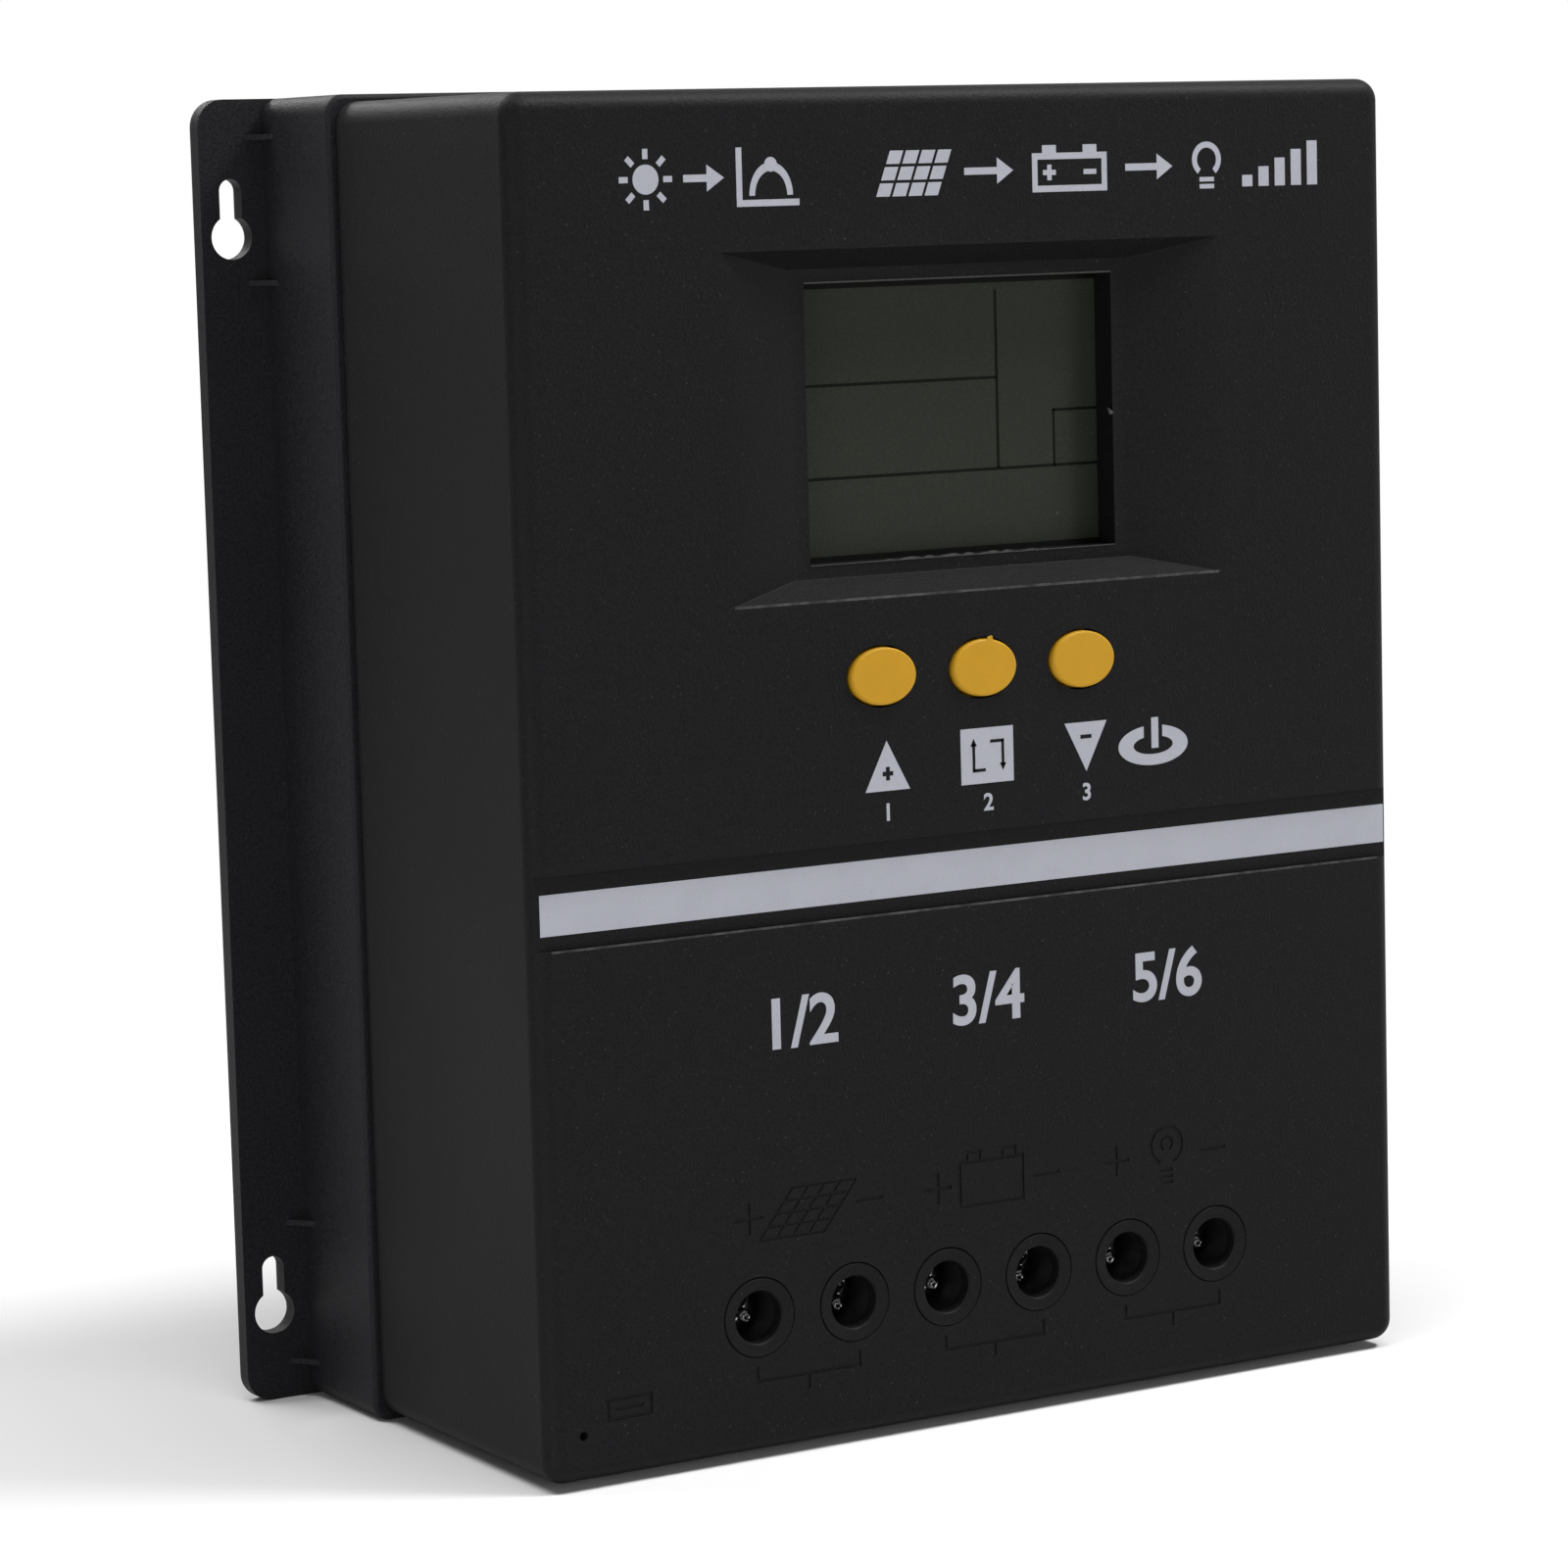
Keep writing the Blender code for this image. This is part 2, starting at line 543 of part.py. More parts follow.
def build_front_cover(finish):
    outline = rounded_rectangle(COVER_WIDTH, COVER_HEIGHT, COVER_CORNER)
    body = Shape().out_from(outline, COVER_BACK, HOUSING_DEPTH)
    body.round_edges(COVER_EDGE_ROUND, 4, lambda point: point.y < -HOUSING_DEPTH + MM / 100)
    body.round_edges(RIM_ROUND / 2, 1, lambda point: point.y > -COVER_BACK - MM / 100)
    cover = make("front_cover", body, finish)

    lap = 2 * (WALL + GAP)
    tongue = rounded_rectangle(TRAY_WIDTH - lap, HOUSING_HEIGHT - lap, INNER_CORNER)
    join(cover, "tongue", Shape().out_from(tongue, TRAY_DEPTH - TONGUE_LENGTH, COVER_BACK + BITE))

    inside = rounded_rectangle(COVER_WIDTH - 2 * WALL, COVER_HEIGHT - 2 * WALL, INNER_CORNER)
    cut(cover, "hollow", Shape().out_from(inside, TRAY_DEPTH - TONGUE_LENGTH - OVERRUN, FRONT_INSIDE))

    inner = Shape()
    collar = 2 * COLLAR_WALL
    inner.loft(*display_sections(2 * FLOOR_THICKNESS, RECESS_FLOOR - FLOOR_THICKNESS, GLASS_OUT + GAP,
                                 WINDOW_WIDTH + collar, WINDOW_HEIGHT + collar))
    for x, z in case_corners():
        inner.out_from(circle(CASE_POST, SMALL_STEPS), CASE_BOSS_END + GAP, FRONT_INSIDE + BITE, x, z)
    for x, z in control_fixings():
        inner.out_from(circle(BOARD_POST, SMALL_STEPS), CONTROL_FRONT + GAP, FRONT_INSIDE + BITE, x, z)
    join(cover, "inner", inner)

    holes = Shape()
    holes.loft(*display_sections(0, RECESS_FLOOR, GLASS_OUT - OVERRUN, WINDOW_WIDTH, WINDOW_HEIGHT))
    for x in buttons():
        opening = oval(BUTTON_WIDTH + 2 * GAP, BUTTON_HEIGHT + 2 * GAP)
        holes.out_from(opening, FRONT_INSIDE - OVERRUN, HOUSING_DEPTH + OVERRUN, x, BUTTON_Z)
    for x in poles():
        ledge = HOUSING_DEPTH - ACCESS_RING_DEPTH
        holes.turned([(ACCESS_HOLE, FRONT_INSIDE - OVERRUN), (ACCESS_HOLE, ledge), (ACCESS_RING, ledge),
                      (ACCESS_RING, HOUSING_DEPTH + OVERRUN)], x, POLE_Z)
    entry = rounded_rectangle(WIRE_SLOT_WIDTH, WIRE_SLOT, WIRE_SLOT_CORNER, 2)
    holes.upright(entry, BOTTOM, COVER_FLOOR + OVERRUN, 0, WIRE_OUT)
    case_bore = circle(CASE_SHANK + 2 * GAP, SMALL_STEPS)
    for x, z in case_corners():
        holes.out_from(case_bore, CASE_BOSS_END, CASE_SCREW_SEAT + CASE_SCREW_LENGTH + OVERRUN, x, z)
    board_bore = circle(BOARD_SHANK + 2 * GAP, SMALL_STEPS)
    for x, z in control_fixings():
        holes.out_from(board_bore, CONTROL_FRONT, CONTROL_BACK + BOARD_SCREW_LENGTH + OVERRUN, x, z)
    pin = circle(PINHOLE, PIN_STEPS)
    holes.out_from(pin, HOUSING_DEPTH - PINHOLE_DEPTH, HOUSING_DEPTH + OVERRUN, -CASE_X, -CASE_Z)
    socket = rectangle(USB_WIDTH + 4 * GAP, USB_HEIGHT + 4 * GAP)
    holes.upright(socket, BOTTOM, COVER_FLOOR + OVERRUN, USB_X, POWER_FRONT + GAP + USB_HEIGHT / 2)
    cut(cover, "holes", holes)

    channel = Shape().out_from(rectangle(TRAY_WIDTH, CHANNEL_HEIGHT), HOUSING_DEPTH - CHANNEL_DEPTH,
                               HOUSING_DEPTH + OVERRUN, 0, BUTTON_Z - CHANNEL_DROP)
    cut(cover, "channel", channel)


def build_display(glass_finish, frame_finish):
    glass = Shape().out_from(rectangle(GLASS_WIDTH, GLASS_HEIGHT), -GLASS_THICKNESS, 0)
    make("lcd_glass", glass, glass_finish, DISPLAY_X, GLASS_OUT, DISPLAY_Z)

    width = GLASS_WIDTH + 2 * (GAP + FRAME_RIM)
    height = GLASS_HEIGHT + 2 * (GAP + FRAME_RIM)
    holder = Shape().out_from(rectangle(width, height), -FRAME_THICKNESS, FRAME_RIM_HEIGHT)
    frame = make("lcd_frame", holder, frame_finish, DISPLAY_X, FRAME_OUT, DISPLAY_Z)
    seat = rectangle(GLASS_WIDTH + 2 * GAP, GLASS_HEIGHT + 2 * GAP)
    cut(frame, "seat", Shape().out_from(seat, 0, FRAME_RIM_HEIGHT + OVERRUN))


def build_control_board(board_finish, steel):
    middle = (CONTROL_TOP + CONTROL_BOTTOM) / 2
    outline = rectangle(CONTROL_WIDTH, CONTROL_TOP - CONTROL_BOTTOM)
    sheet = Shape().out_from(outline, CONTROL_BACK, CONTROL_FRONT, DISPLAY_X, middle)
    board = make("control_pcb", sheet, board_finish)
    holes = Shape()
    bore = circle(BOARD_SHANK + 2 * GAP, SMALL_STEPS)
    screw = board_screw_mesh("control_screw", -1, steel)
    for index, (x, z) in enumerate(control_fixings(), 1):
        holes.out_from(bore, CONTROL_BACK - OVERRUN, CONTROL_FRONT + OVERRUN, x, z)
        place(f"control_screw_{index}", screw, x, CONTROL_BACK - GAP, z)
    cut(board, "holes", holes)


def screw_mesh(name, head, head_height, shank, length, head_side, finish):
    """A pan-head screw along the out axis; head_side is +1 when its head looks to the front."""
    profile = [(head * HEAD_FLAT, head_height), (head, head_height * HEAD_WALL), (head, 0), (shank, 0),
               (shank, -length + shank / 2), (shank * SCREW_POINT, -length)]
    turned = Shape().turned([(across, head_side * out) for across, out in profile], steps=FASTENER_STEPS)
    return finish_mesh(name, turned, finish)


def board_screw_mesh(name, head_side, finish):
    return screw_mesh(name, BOARD_HEAD, BOARD_HEAD_HEIGHT, BOARD_SHANK, BOARD_SCREW_LENGTH, head_side, finish)


def build_case_screws(steel):
    screw = screw_mesh("case_screw", CASE_HEAD, CASE_HEAD_HEIGHT, CASE_SHANK, CASE_SCREW_LENGTH, -1,
                       steel)
    for index, (x, z) in enumerate(case_corners(), 1):
        place(f"case_screw_{index}", screw, x, CASE_SCREW_SEAT - GAP, z)


def build_buttons(cap_finish, switch_finish, plunger_finish):
    """Each cap is captive behind the front wall and bears on its switch's plunger."""
    face = HOUSING_DEPTH + BUTTON_PROUD
    flange_front = FRONT_INSIDE - GAP
    flange_back = flange_front - BUTTON_FLANGE_THICKNESS
    plunger_back = SWITCH_FRONT - PLUNGER_SINK
    stem_end = (flange_back + SWITCH_FRONT) / 2
    wide, tall = BUTTON_WIDTH, BUTTON_HEIGHT
    lip = 2 * BUTTON_FLANGE
    profile = [(wide - 2 * BUTTON_EDGE, tall - 2 * BUTTON_EDGE, face),
               (wide - 2 * BUTTON_SHOULDER, tall - 2 * BUTTON_SHOULDER, face - BUTTON_SHOULDER),
               (wide, tall, face - BUTTON_EDGE), (wide, tall, flange_front),
               (wide + lip, tall + lip, flange_front), (wide + lip, tall + lip, flange_back),
               (BUTTON_STEM, BUTTON_STEM, flange_back), (BUTTON_STEM, BUTTON_STEM, stem_end)]
    cap = Shape().loft(*[facing_front(oval(width, height), out - face) for width, height, out in profile])
    cap_mesh = finish_mesh("button_cap", cap, cap_finish)

    pin = circle(PLUNGER, SMALL_STEPS)
    plunger = Shape().out_from(pin, plunger_back - SWITCH_FRONT, stem_end - GAP - SWITCH_FRONT)
    plunger_mesh = finish_mesh("switch_plunger", plunger, plunger_finish)
    pin_bore = circle(PLUNGER + 2 * GAP, SMALL_STEPS)

    for index, x in enumerate(buttons(), 1):
        place(f"button_cap_{index}", cap_mesh, x, face, BUTTON_Z)
        place(f"switch_plunger_{index}", plunger_mesh, x, SWITCH_FRONT, BUTTON_Z)
        body = Shape().out_from(rectangle(SWITCH_SIDE, SWITCH_SIDE), -SWITCH_HEIGHT, 0)
        switch = make(f"tact_switch_{index}", body, switch_finish, x, SWITCH_FRONT, BUTTON_Z)
        cut(switch, "bore", Shape().out_from(pin_bore, -PLUNGER_SINK - BUTTON_TRAVEL - GAP, OVERRUN))


def build_power_board(board_finish, steel):
    middle = (POWER_TOP + POWER_BOTTOM) / 2
    outline = rectangle(POWER_BOARD_WIDTH, POWER_BOARD_HEIGHT)
    sheet = Shape().out_from(outline, POWER_BOARD_OUT, POWER_FRONT, 0, middle)
    board = make("power_pcb", sheet, board_finish)
    holes = Shape()
    bore = circle(BOARD_SHANK + 2 * GAP, SMALL_STEPS)
    screw = board_screw_mesh("power_screw", 1, steel)
    for index, (x, z) in enumerate(power_fixings(), 1):
        holes.out_from(bore, POWER_BOARD_OUT - OVERRUN, POWER_FRONT + OVERRUN, x, z)
        place(f"power_screw_{index}", screw, x, POWER_FRONT + GAP, z)
    cut(board, "holes", holes)


def build_terminal_blocks(finish):
    """Mouldings side by side, with a pocket, a bar slot and a screw well for each pole."""
    middle = (POWER_FRONT + GAP + BLOCK_FRONT) / 2
    outline = rounded_rectangle(BLOCK_WIDTH, BLOCK_FRONT - POWER_FRONT - GAP, BLOCK_CORNER, 2)
    pocket = rectangle(CAGE_WIDTH + 2 * GAP, POCKET_FRONT - CAGE_BACK + GAP)
    pocket_out = (POCKET_FRONT + CAGE_BACK - GAP) / 2
    slot = rectangle(BAR_WIDTH + 2 * GAP, BAR_THICKNESS + 2 * GAP)
    shank = SCREW_SHANK + 2 * GAP
    for index, centre in enumerate(row(BLOCK_COUNT, BLOCK_POLES * POLE_PITCH), 1):
        body = Shape().upright(outline, BLOCK_BOTTOM, BLOCK_TOP, centre, middle)
        block = make(f"terminal_block_{index}", body, finish)
        pockets, slots, wells = Shape(), Shape(), Shape()
        for x in row(BLOCK_POLES, POLE_PITCH, centre):
            pockets.upright(pocket, BLOCK_BOTTOM - OVERRUN, POCKET_TOP, x, pocket_out)
            slots.upright(slot, POCKET_TOP - OVERRUN, BLOCK_TOP + OVERRUN, x, (BAR_FRONT + BAR_BACK) / 2)
            wells.turned([(shank, POCKET_FRONT - OVERRUN), (shank, SCREW_SEAT), (WELL, SCREW_SEAT),
                          (WELL, BLOCK_FRONT + OVERRUN)], x, POLE_Z)
        cut(block, "pockets", pockets)
        cut(block, "slots", slots)
        cut(block, "wells", wells)


def build_terminals(steel, cage_finish, copper):
    """Screw, rising cage and contact bar of each pole; screw and cage share the pole's axis."""
    tip = BAR_FRONT + GAP - SCREW_TOP
    profile = [(SCREW_HEAD_TOP, 0), (SCREW_HEAD_SHOULDER, -SCREW_HEAD_EDGE), (SCREW_HEAD, -SCREW_HEAD_CROWN),
               (SCREW_HEAD, -SCREW_HEAD_HEIGHT), (SCREW_SHANK, -SCREW_HEAD_HEIGHT), (SCREW_SHANK, tip)]
    half, arm = SCREW_SLOT / 2, SCREW_SLOT_LENGTH / 2
    cross = [(half, half), (half, arm), (-half, arm), (-half, half), (-arm, half), (-arm, -half),
             (-half, -half), (-half, -arm), (half, -arm), (half, -half), (arm, -half), (arm, half)]
    ring_depth = CAGE_FRONT - CAGE_BACK
    ring = rectangle(CAGE_WIDTH, ring_depth)
    thread = circle(SCREW_SHANK + GAP, SMALL_STEPS)
    window = rectangle(BAR_WIDTH + 2 * CAGE_PLAY, ring_depth - CAGE_NUT - CAGE_FLOOR)
    window_out = (CAGE_FLOOR - CAGE_NUT) / 2
    leg_low = BLOCK_TOP + BAR_STEP
    bar_end = leg_low + BAR_THICKNESS
    seat = POWER_FRONT + GAP
    bar_profile = [(BAR_FRONT, POLE_Z - BAR_TIP), (BAR_FRONT, bar_end), (seat, bar_end), (seat, leg_low),
                   (BAR_BACK, leg_low), (BAR_BACK, POLE_Z - BAR_TIP)]
    for index, x in enumerate(poles(), 1):
        screw = make(f"terminal_screw_{index}", Shape().turned(profile), steel, x, SCREW_TOP, POLE_Z)
        cut(screw, "drive", Shape().out_from(cross, -SCREW_SLOT_DEPTH, OVERRUN))

        body = Shape().upright(ring, -CAGE_LENGTH / 2, CAGE_LENGTH / 2)
        cage = make(f"clamp_cage_{index}", body, cage_finish, x, (CAGE_FRONT + CAGE_BACK) / 2, POLE_Z)
        past = CAGE_LENGTH / 2 + OVERRUN
        cut(cage, "window", Shape().upright(window, -past, past, 0, window_out))
        nut_back = ring_depth / 2 - CAGE_NUT
        cut(cage, "thread", Shape().out_from(thread, nut_back - OVERRUN, ring_depth / 2 + OVERRUN))

        bar = Shape().across(bar_profile, x - BAR_WIDTH / 2, x + BAR_WIDTH / 2)
        make(f"contact_bar_{index}", bar, copper)


def build_power_stage(aluminium, package, can, core):
    fin_back = BACK_THICKNESS + GAP
    base_back = SINK_FRONT - SINK_BASE
    half = SINK_WIDTH / 2
    profile = [(half, SINK_FRONT), (-half, SINK_FRONT)]
    pitch = (SINK_WIDTH - FIN_THICKNESS) / (FIN_COUNT - 1)
    for x in row(FIN_COUNT, pitch):
        left, right = x - FIN_THICKNESS / 2, x + FIN_THICKNESS / 2
        profile += [(left, base_back), (left, fin_back), (right, fin_back), (right, base_back)]
    # The first and last fins lie flush with the base's ends, so those corner points drop out.
    profile = profile[:2] + profile[3:-1]
    low = BOTTOM + SINK_LIFT - SINK_HEIGHT / 2
    make("heat_sink", Shape().upright(profile, low, low + SINK_HEIGHT), aluminium)

    body = Shape().out_from(rectangle(MOSFET_WIDTH, MOSFET_HEIGHT), 0, MOSFET_THICKNESS)
    package_mesh = finish_mesh("mosfet", body, package)
    for index, x in enumerate(row(MOSFET_COUNT, MOSFET_PITCH), 1):
        place(f"mosfet_{index}", package_mesh, x, SINK_FRONT + GAP, BOTTOM + MOSFET_LIFT)

    can_profile = [(CAPACITOR, 0), (CAPACITOR, CAPACITOR_GROOVE - CAPACITOR_EDGE),
                   (CAPACITOR_NECK, CAPACITOR_GROOVE), (CAPACITOR, CAPACITOR_GROOVE + CAPACITOR_EDGE),
                   (CAPACITOR, CAPACITOR_HEIGHT - CAPACITOR_EDGE), (CAPACITOR_NECK, CAPACITOR_HEIGHT)]
    can_mesh = finish_mesh("capacitor", Shape().turned(can_profile, steps=SMALL_STEPS), can)
    for index, x in enumerate(row(CAPACITOR_COUNT, CAPACITOR_PITCH, CAPACITOR_X), 1):
        place(f"capacitor_{index}", can_mesh, x, POWER_FRONT + GAP, FILTER_Z)

    narrow = CHOKE - CHOKE_EDGE
    ring = Shape().turned([(narrow, 0), (CHOKE, CHOKE_EDGE), (CHOKE, CHOKE_HEIGHT - CHOKE_EDGE),
                           (narrow, CHOKE_HEIGHT)])
    choke = make("choke", ring, core, CHOKE_X, POWER_FRONT + GAP, FILTER_Z)
    cut(choke, "bore", Shape().out_from(circle(CHOKE_BORE), -OVERRUN, CHOKE_HEIGHT + OVERRUN))


def weighted_sum(weights, points):
    return sum((weight * point for weight, point in zip(weights, points)), Vector((0, 0)))


def build_ribbon(header_finish, cable_finish):
    """Two headers and a flat cable that leaves each of them straight."""
    upper = CONTROL_BOTTOM + HEADER_INSET
    lower = upper - RIBBON_DROP
    start = CONTROL_BACK - GAP - HEADER_DEPTH
    end = POWER_FRONT + GAP + HEADER_DEPTH
    shell = Shape().out_from(rectangle(HEADER_WIDTH, HEADER_HEIGHT), 0, HEADER_DEPTH)
    shell_mesh = finish_mesh("header", shell, header_finish)
    place("control_header", shell_mesh, RIBBON_X, start, upper)
    place("power_header", shell_mesh, RIBBON_X, end - HEADER_DEPTH, lower)

    first, last = Vector((start - GAP, upper)), Vector((end + GAP, lower))
    pull = Vector((RIBBON_PULL, 0))
    handles = [first, first - pull, last + pull, last]
    half = RIBBON_THICKNESS / 2
    near, far = [], []
    for step in range(RIBBON_STEPS + 1):
        t = step / RIBBON_STEPS
        weights = ((1 - t) ** 3, 3 * t * (1 - t) ** 2, 3 * t * t * (1 - t), t ** 3)
        slopes = (-(1 - t) ** 2, (1 - t) * (1 - 3 * t), t * (2 - 3 * t), t * t)
        point = weighted_sum(weights, handles)
        along = weighted_sum(slopes, handles).normalized()
        side = Vector((-along.y, along.x)) * half
        near.append(tuple(point + side))
        far.append(tuple(point - side))
    cable = Shape().across(near + far[::-1], RIBBON_X - RIBBON_WIDTH / 2, RIBBON_X + RIBBON_WIDTH / 2)
    make("ribbon_cable", cable, cable_finish)


def build_usb_socket(steel):
    """Outlet socket on the power board; its mouth lies in the cover's bottom wall."""
    mouth = BOTTOM + COVER_STEP + USB_SETBACK
    middle = POWER_FRONT + GAP + USB_HEIGHT / 2
    shell = Shape().upright(rectangle(USB_WIDTH, USB_HEIGHT), 0, USB_LENGTH)
    socket = make("usb_socket", shell, steel, USB_X, middle, mouth)
    inside = rectangle(USB_WIDTH - 2 * USB_WALL, USB_HEIGHT - 2 * USB_WALL)
    cut(socket, "cavity", Shape().upright(inside, -OVERRUN, USB_DEPTH))
    tongue = rectangle(USB_WIDTH - 2 * (USB_WALL + USB_TONGUE_SIDE), USB_TONGUE)
    shelf = USB_HEIGHT / 2 - USB_WALL - USB_TONGUE_SIDE - USB_TONGUE / 2
    join(socket, "tongue", Shape().upright(tongue, USB_TONGUE_SHORT, USB_DEPTH + BITE, 0, shelf))


def main():
    for old in list(bpy.data.objects):
        bpy.data.objects.remove(old, do_unlink=True)

    housing = make_material("housing_black", (0.016, 0.016, 0.017), 0.62)
    moulding = make_material("terminal_black", (0.010, 0.010, 0.011), 0.18)
    yellow = make_material("button_yellow", (0.58, 0.31, 0.03), 0.38)
    steel = make_material("plated_steel", (0.62, 0.62, 0.64), 0.28, 1.0)
    glass = make_material("display_glass", (0.030, 0.034, 0.026), 0.12)
    frame = make_material("frame_white", (0.72, 0.72, 0.70), 0.5)
    board = make_material("board_green", (0.02, 0.13, 0.05), 0.45)
    switch = make_material("switch_black", (0.02, 0.02, 0.02), 0.5)
    copper = make_material("tinned_copper", (0.72, 0.62, 0.50), 0.32, 1.0)
    aluminium = make_material("heat_sink_aluminium", (0.56, 0.57, 0.58), 0.4, 1.0)
    package = make_material("package_black", (0.015, 0.015, 0.016), 0.45)
    can = make_material("capacitor_sleeve", (0.02, 0.02, 0.05), 0.35)
    core = make_material("choke_core", (0.09, 0.10, 0.03), 0.6)
    cable = make_material("ribbon_grey", (0.42, 0.42, 0.43), 0.5)
    header = make_material("header_white", (0.75, 0.74, 0.70), 0.5)

    build_base_tray(housing)
    build_front_cover(housing)
    build_case_screws(steel)
    build_display(glass, frame)
    build_control_board(board, steel)
    build_buttons(yellow, switch, switch)
    build_power_board(board, steel)
    build_terminal_blocks(moulding)
    build_terminals(steel, steel, copper)
    build_power_stage(aluminium, package, can, core)
    build_ribbon(header, cable)
    build_usb_socket(steel)


main()
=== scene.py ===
"""Looks of a wall-mount solar charge controller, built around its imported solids.

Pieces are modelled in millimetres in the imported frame, with x to the right and z up. "Out" is the
distance from the wall towards the viewer, so a point's y is -out. A finished piece is in metres.
"""
import math

import bmesh
import bpy
from mathutils import Matrix, Vector


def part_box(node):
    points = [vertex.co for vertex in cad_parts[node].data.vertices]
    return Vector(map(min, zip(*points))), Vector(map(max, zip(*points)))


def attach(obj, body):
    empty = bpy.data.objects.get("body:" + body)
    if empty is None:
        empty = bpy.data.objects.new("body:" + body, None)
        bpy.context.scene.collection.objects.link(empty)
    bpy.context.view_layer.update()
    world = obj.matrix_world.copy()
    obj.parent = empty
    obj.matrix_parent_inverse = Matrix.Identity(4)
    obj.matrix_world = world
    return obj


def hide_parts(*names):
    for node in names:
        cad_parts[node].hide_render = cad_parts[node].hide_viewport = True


MM = 0.001
CLOSE = 0.001  # two points nearer than this, in millimetres, are one
NEAR = 0.015  # the same, for what cuts leave
FLAT = math.radians(0.5)  # two faces that meet at less than this are one
PAST = 1.0  # how far a cutter runs past what it cuts
OVERLAP = 0.5  # how far a joined solid reaches into its neighbour
FIGURE_HEIGHT = 0.7  # a figure's height over its font size
SMALL_EDGE = 0.12  # rounding of the edges of small pieces
FACET_ANGLE = 42.0  # packed faces that meet at less than this belong to one round

# Housing
TRAY = (162.0, 210.0)
TRAY_RIM = 27.0
TRAY_CORNER = 3.0
TRAY_EDGE = 0.8
TRAY_SOFT = 0.25
TRAY_PAINTED_LIGHT = 2.3  # painted light: how much paler the tray's black is painted than the cover's, for light that the housing keeps off it
EAR_SPAN = 184.0
EAR_CORNER = 4.4
BACK = 3.0
WALL = 2.5
COVER = (159.6, 207.6)
COVER_BACK = 27.25
COVER_CORNER = 3.5
COVER_EDGE = 3.0
COVER_RIM_EDGE = 0.4
COVER_SOFT = 0.2
FRONT = 84.0
FRONT_INSIDE = 81.5
TONGUE = (156.4, 204.4)
TONGUE_END = 23.5
INNER_CORNER = 1.5
CASE_POSTS = [(-74.0, -96.4), (74.0, -96.4), (-74.0, 96.4), (74.0, 96.4)]
CASE_POST = 7.6
CASE_BOSS = 10.0
CASE_BOSS_END = 23.0
POST_GAP = 0.3
CASE_HEAD_BORE = 6.6
CASE_SEAT = 18.0
CASE_BORE = 3.6
CASE_BORE_END = 34.0
PINHOLE = 1.4
PINHOLE_FLOOR = 82.0

# Ears
KEYHOLE_X = 86.8
KEYHOLE_Z = (83.3, -90.5)
KEYHOLE = 7.0
KEYHOLE_SLOT = 3.8
KEYHOLE_RISE = 9.2
GUSSET_Z = (99.0, 76.0, -76.0, -99.0)
GUSSET = (3.1, 4.1, 0.9)
VENT_COUNT = 10
VENT_PITCH = 10.0
VENT = (2.4, 13.0)
VENT_OUT = 13.25
VENT_CORNER = 0.9

# Display
DISPLAY = (1.0, 52.9)
RECESS = (90.8, 53.2)
RECESS_FLOOR_SIZE = (62.4, 47.2)
RECESS_FLOOR = 79.0
RECESS_LINING = 2.0
WINDOW = (56.5, 43.0)
COLLAR_WALL = 2.0
FLASH_STEPS = 150
FLASH_LIFT = 0.12
FLASH_TAB = [(0.2, 52.2), (-0.9, 53.0), (-0.5, 51.9)]  # from the window's right edge
# Painted highlight strips on lit edges; the moulding flash sinks by the same depth
THIN_STRIP_SINK = 0.3
HIGHLIGHT_LIFT = 0.04
RECESS_HIGHLIGHT = 0.36
CHANNEL_HIGHLIGHT = 0.3
GLASS_FRONT = 74.2
GLASS_GAP = 0.3
GLASS = (62.5, 49.0)
GLASS_THICK = 2.8
CELL_POST = 10.6
CELL_TOP = 72.2
CELL_SPLIT = 58.5
CELL_RULE = 44.2
CELL_BOX = (21.2, 52.9)

# Boards
POWER_POST = 7.0
POWER_POSTS = [(-64.0, -62.0), (64.0, -62.0), (-64.0, 36.0), (64.0, 36.0)]
POWER_PROPS = [(-34.0, -82.6), (34.0, -82.6)]
POWER_POST_END = 38.1
CONTROL_POST = 6.0
CONTROL_POSTS = [(-50.4, 2.2), (52.4, 2.2), (-50.4, 85.5), (52.4, 85.5)]
CONTROL_POST_END = 66.1
CONTROL_BACK = 64.2
POWER_FRONT = 40.0
BOARD_BORE = 3.2
BOARD_BORE_DEPTH = 8.0

# Controls
BUTTON_X = (-18.2, 0.3, 18.8)
BUTTON_Z = 14.2
BUTTON_HOLE = (12.4, 9.6)
BUTTON = (11.8, 8.9)
BUTTON_FACE = 84.75
BUTTON_EDGE = 0.5
BUTTON_SHIFT = 0.2
BUTTON_FLANGE = 1.0
BUTTON_FLANGE_FRONT = 81.2
BUTTON_FLANGE_BACK = 79.7
BUTTON_STEM = 6.0
BUTTON_STEM_END = 74.7
NUB_BUTTON = 2
NUB = [(0.2, -0.5), (1.6, -0.5), (1.3, 0.5), (0.5, 0.35)]  # a moulding mark, from the top of its cap
CHANNEL = (-22.7, -11.3)
CHANNEL_FLOOR = 83.0

# Terminals
POLE_Z = -82.6
POLES = [(-42.875 + 17.15 * pole, POLE_Z) for pole in range(6)]
ACCESS_HOLE = 8.2
ACCESS_RING = 12.6
ACCESS_LEDGE = 83.1
COLLAR = 12.3
COLLAR_FRONT = 83.95
COLLAR_DISH = 0.15
COLLAR_SHIFT = (0.115, -0.09)
WIRE_SLOT = (98.75, 13.0)
WIRE_SLOT_CORNER = 3.0
WIRE_OUT = 55.6
USB_X = -60.5
USB_OUT = 43.25
USB_MOUTH = (14.4, 7.1)
SCREW_TOP = 77.0
SCREW_HEAD = 8.2
SCREW_HEAD_HEIGHT = 3.2
SCREW_DOME = 1.5
SCREW_RINGS = 18
SCREW_SLOT_DEPTH = 1.4
SCREW_SLOT_SIDE = (0.25, 0.95)
SCREW_SLOT_END = (2.8, 3.5)
SCREW_TURNS = (38, 52, 30, 57, 43, 35)
SCREW_SHANK = 5.0
SCREW_TIP = 62.4
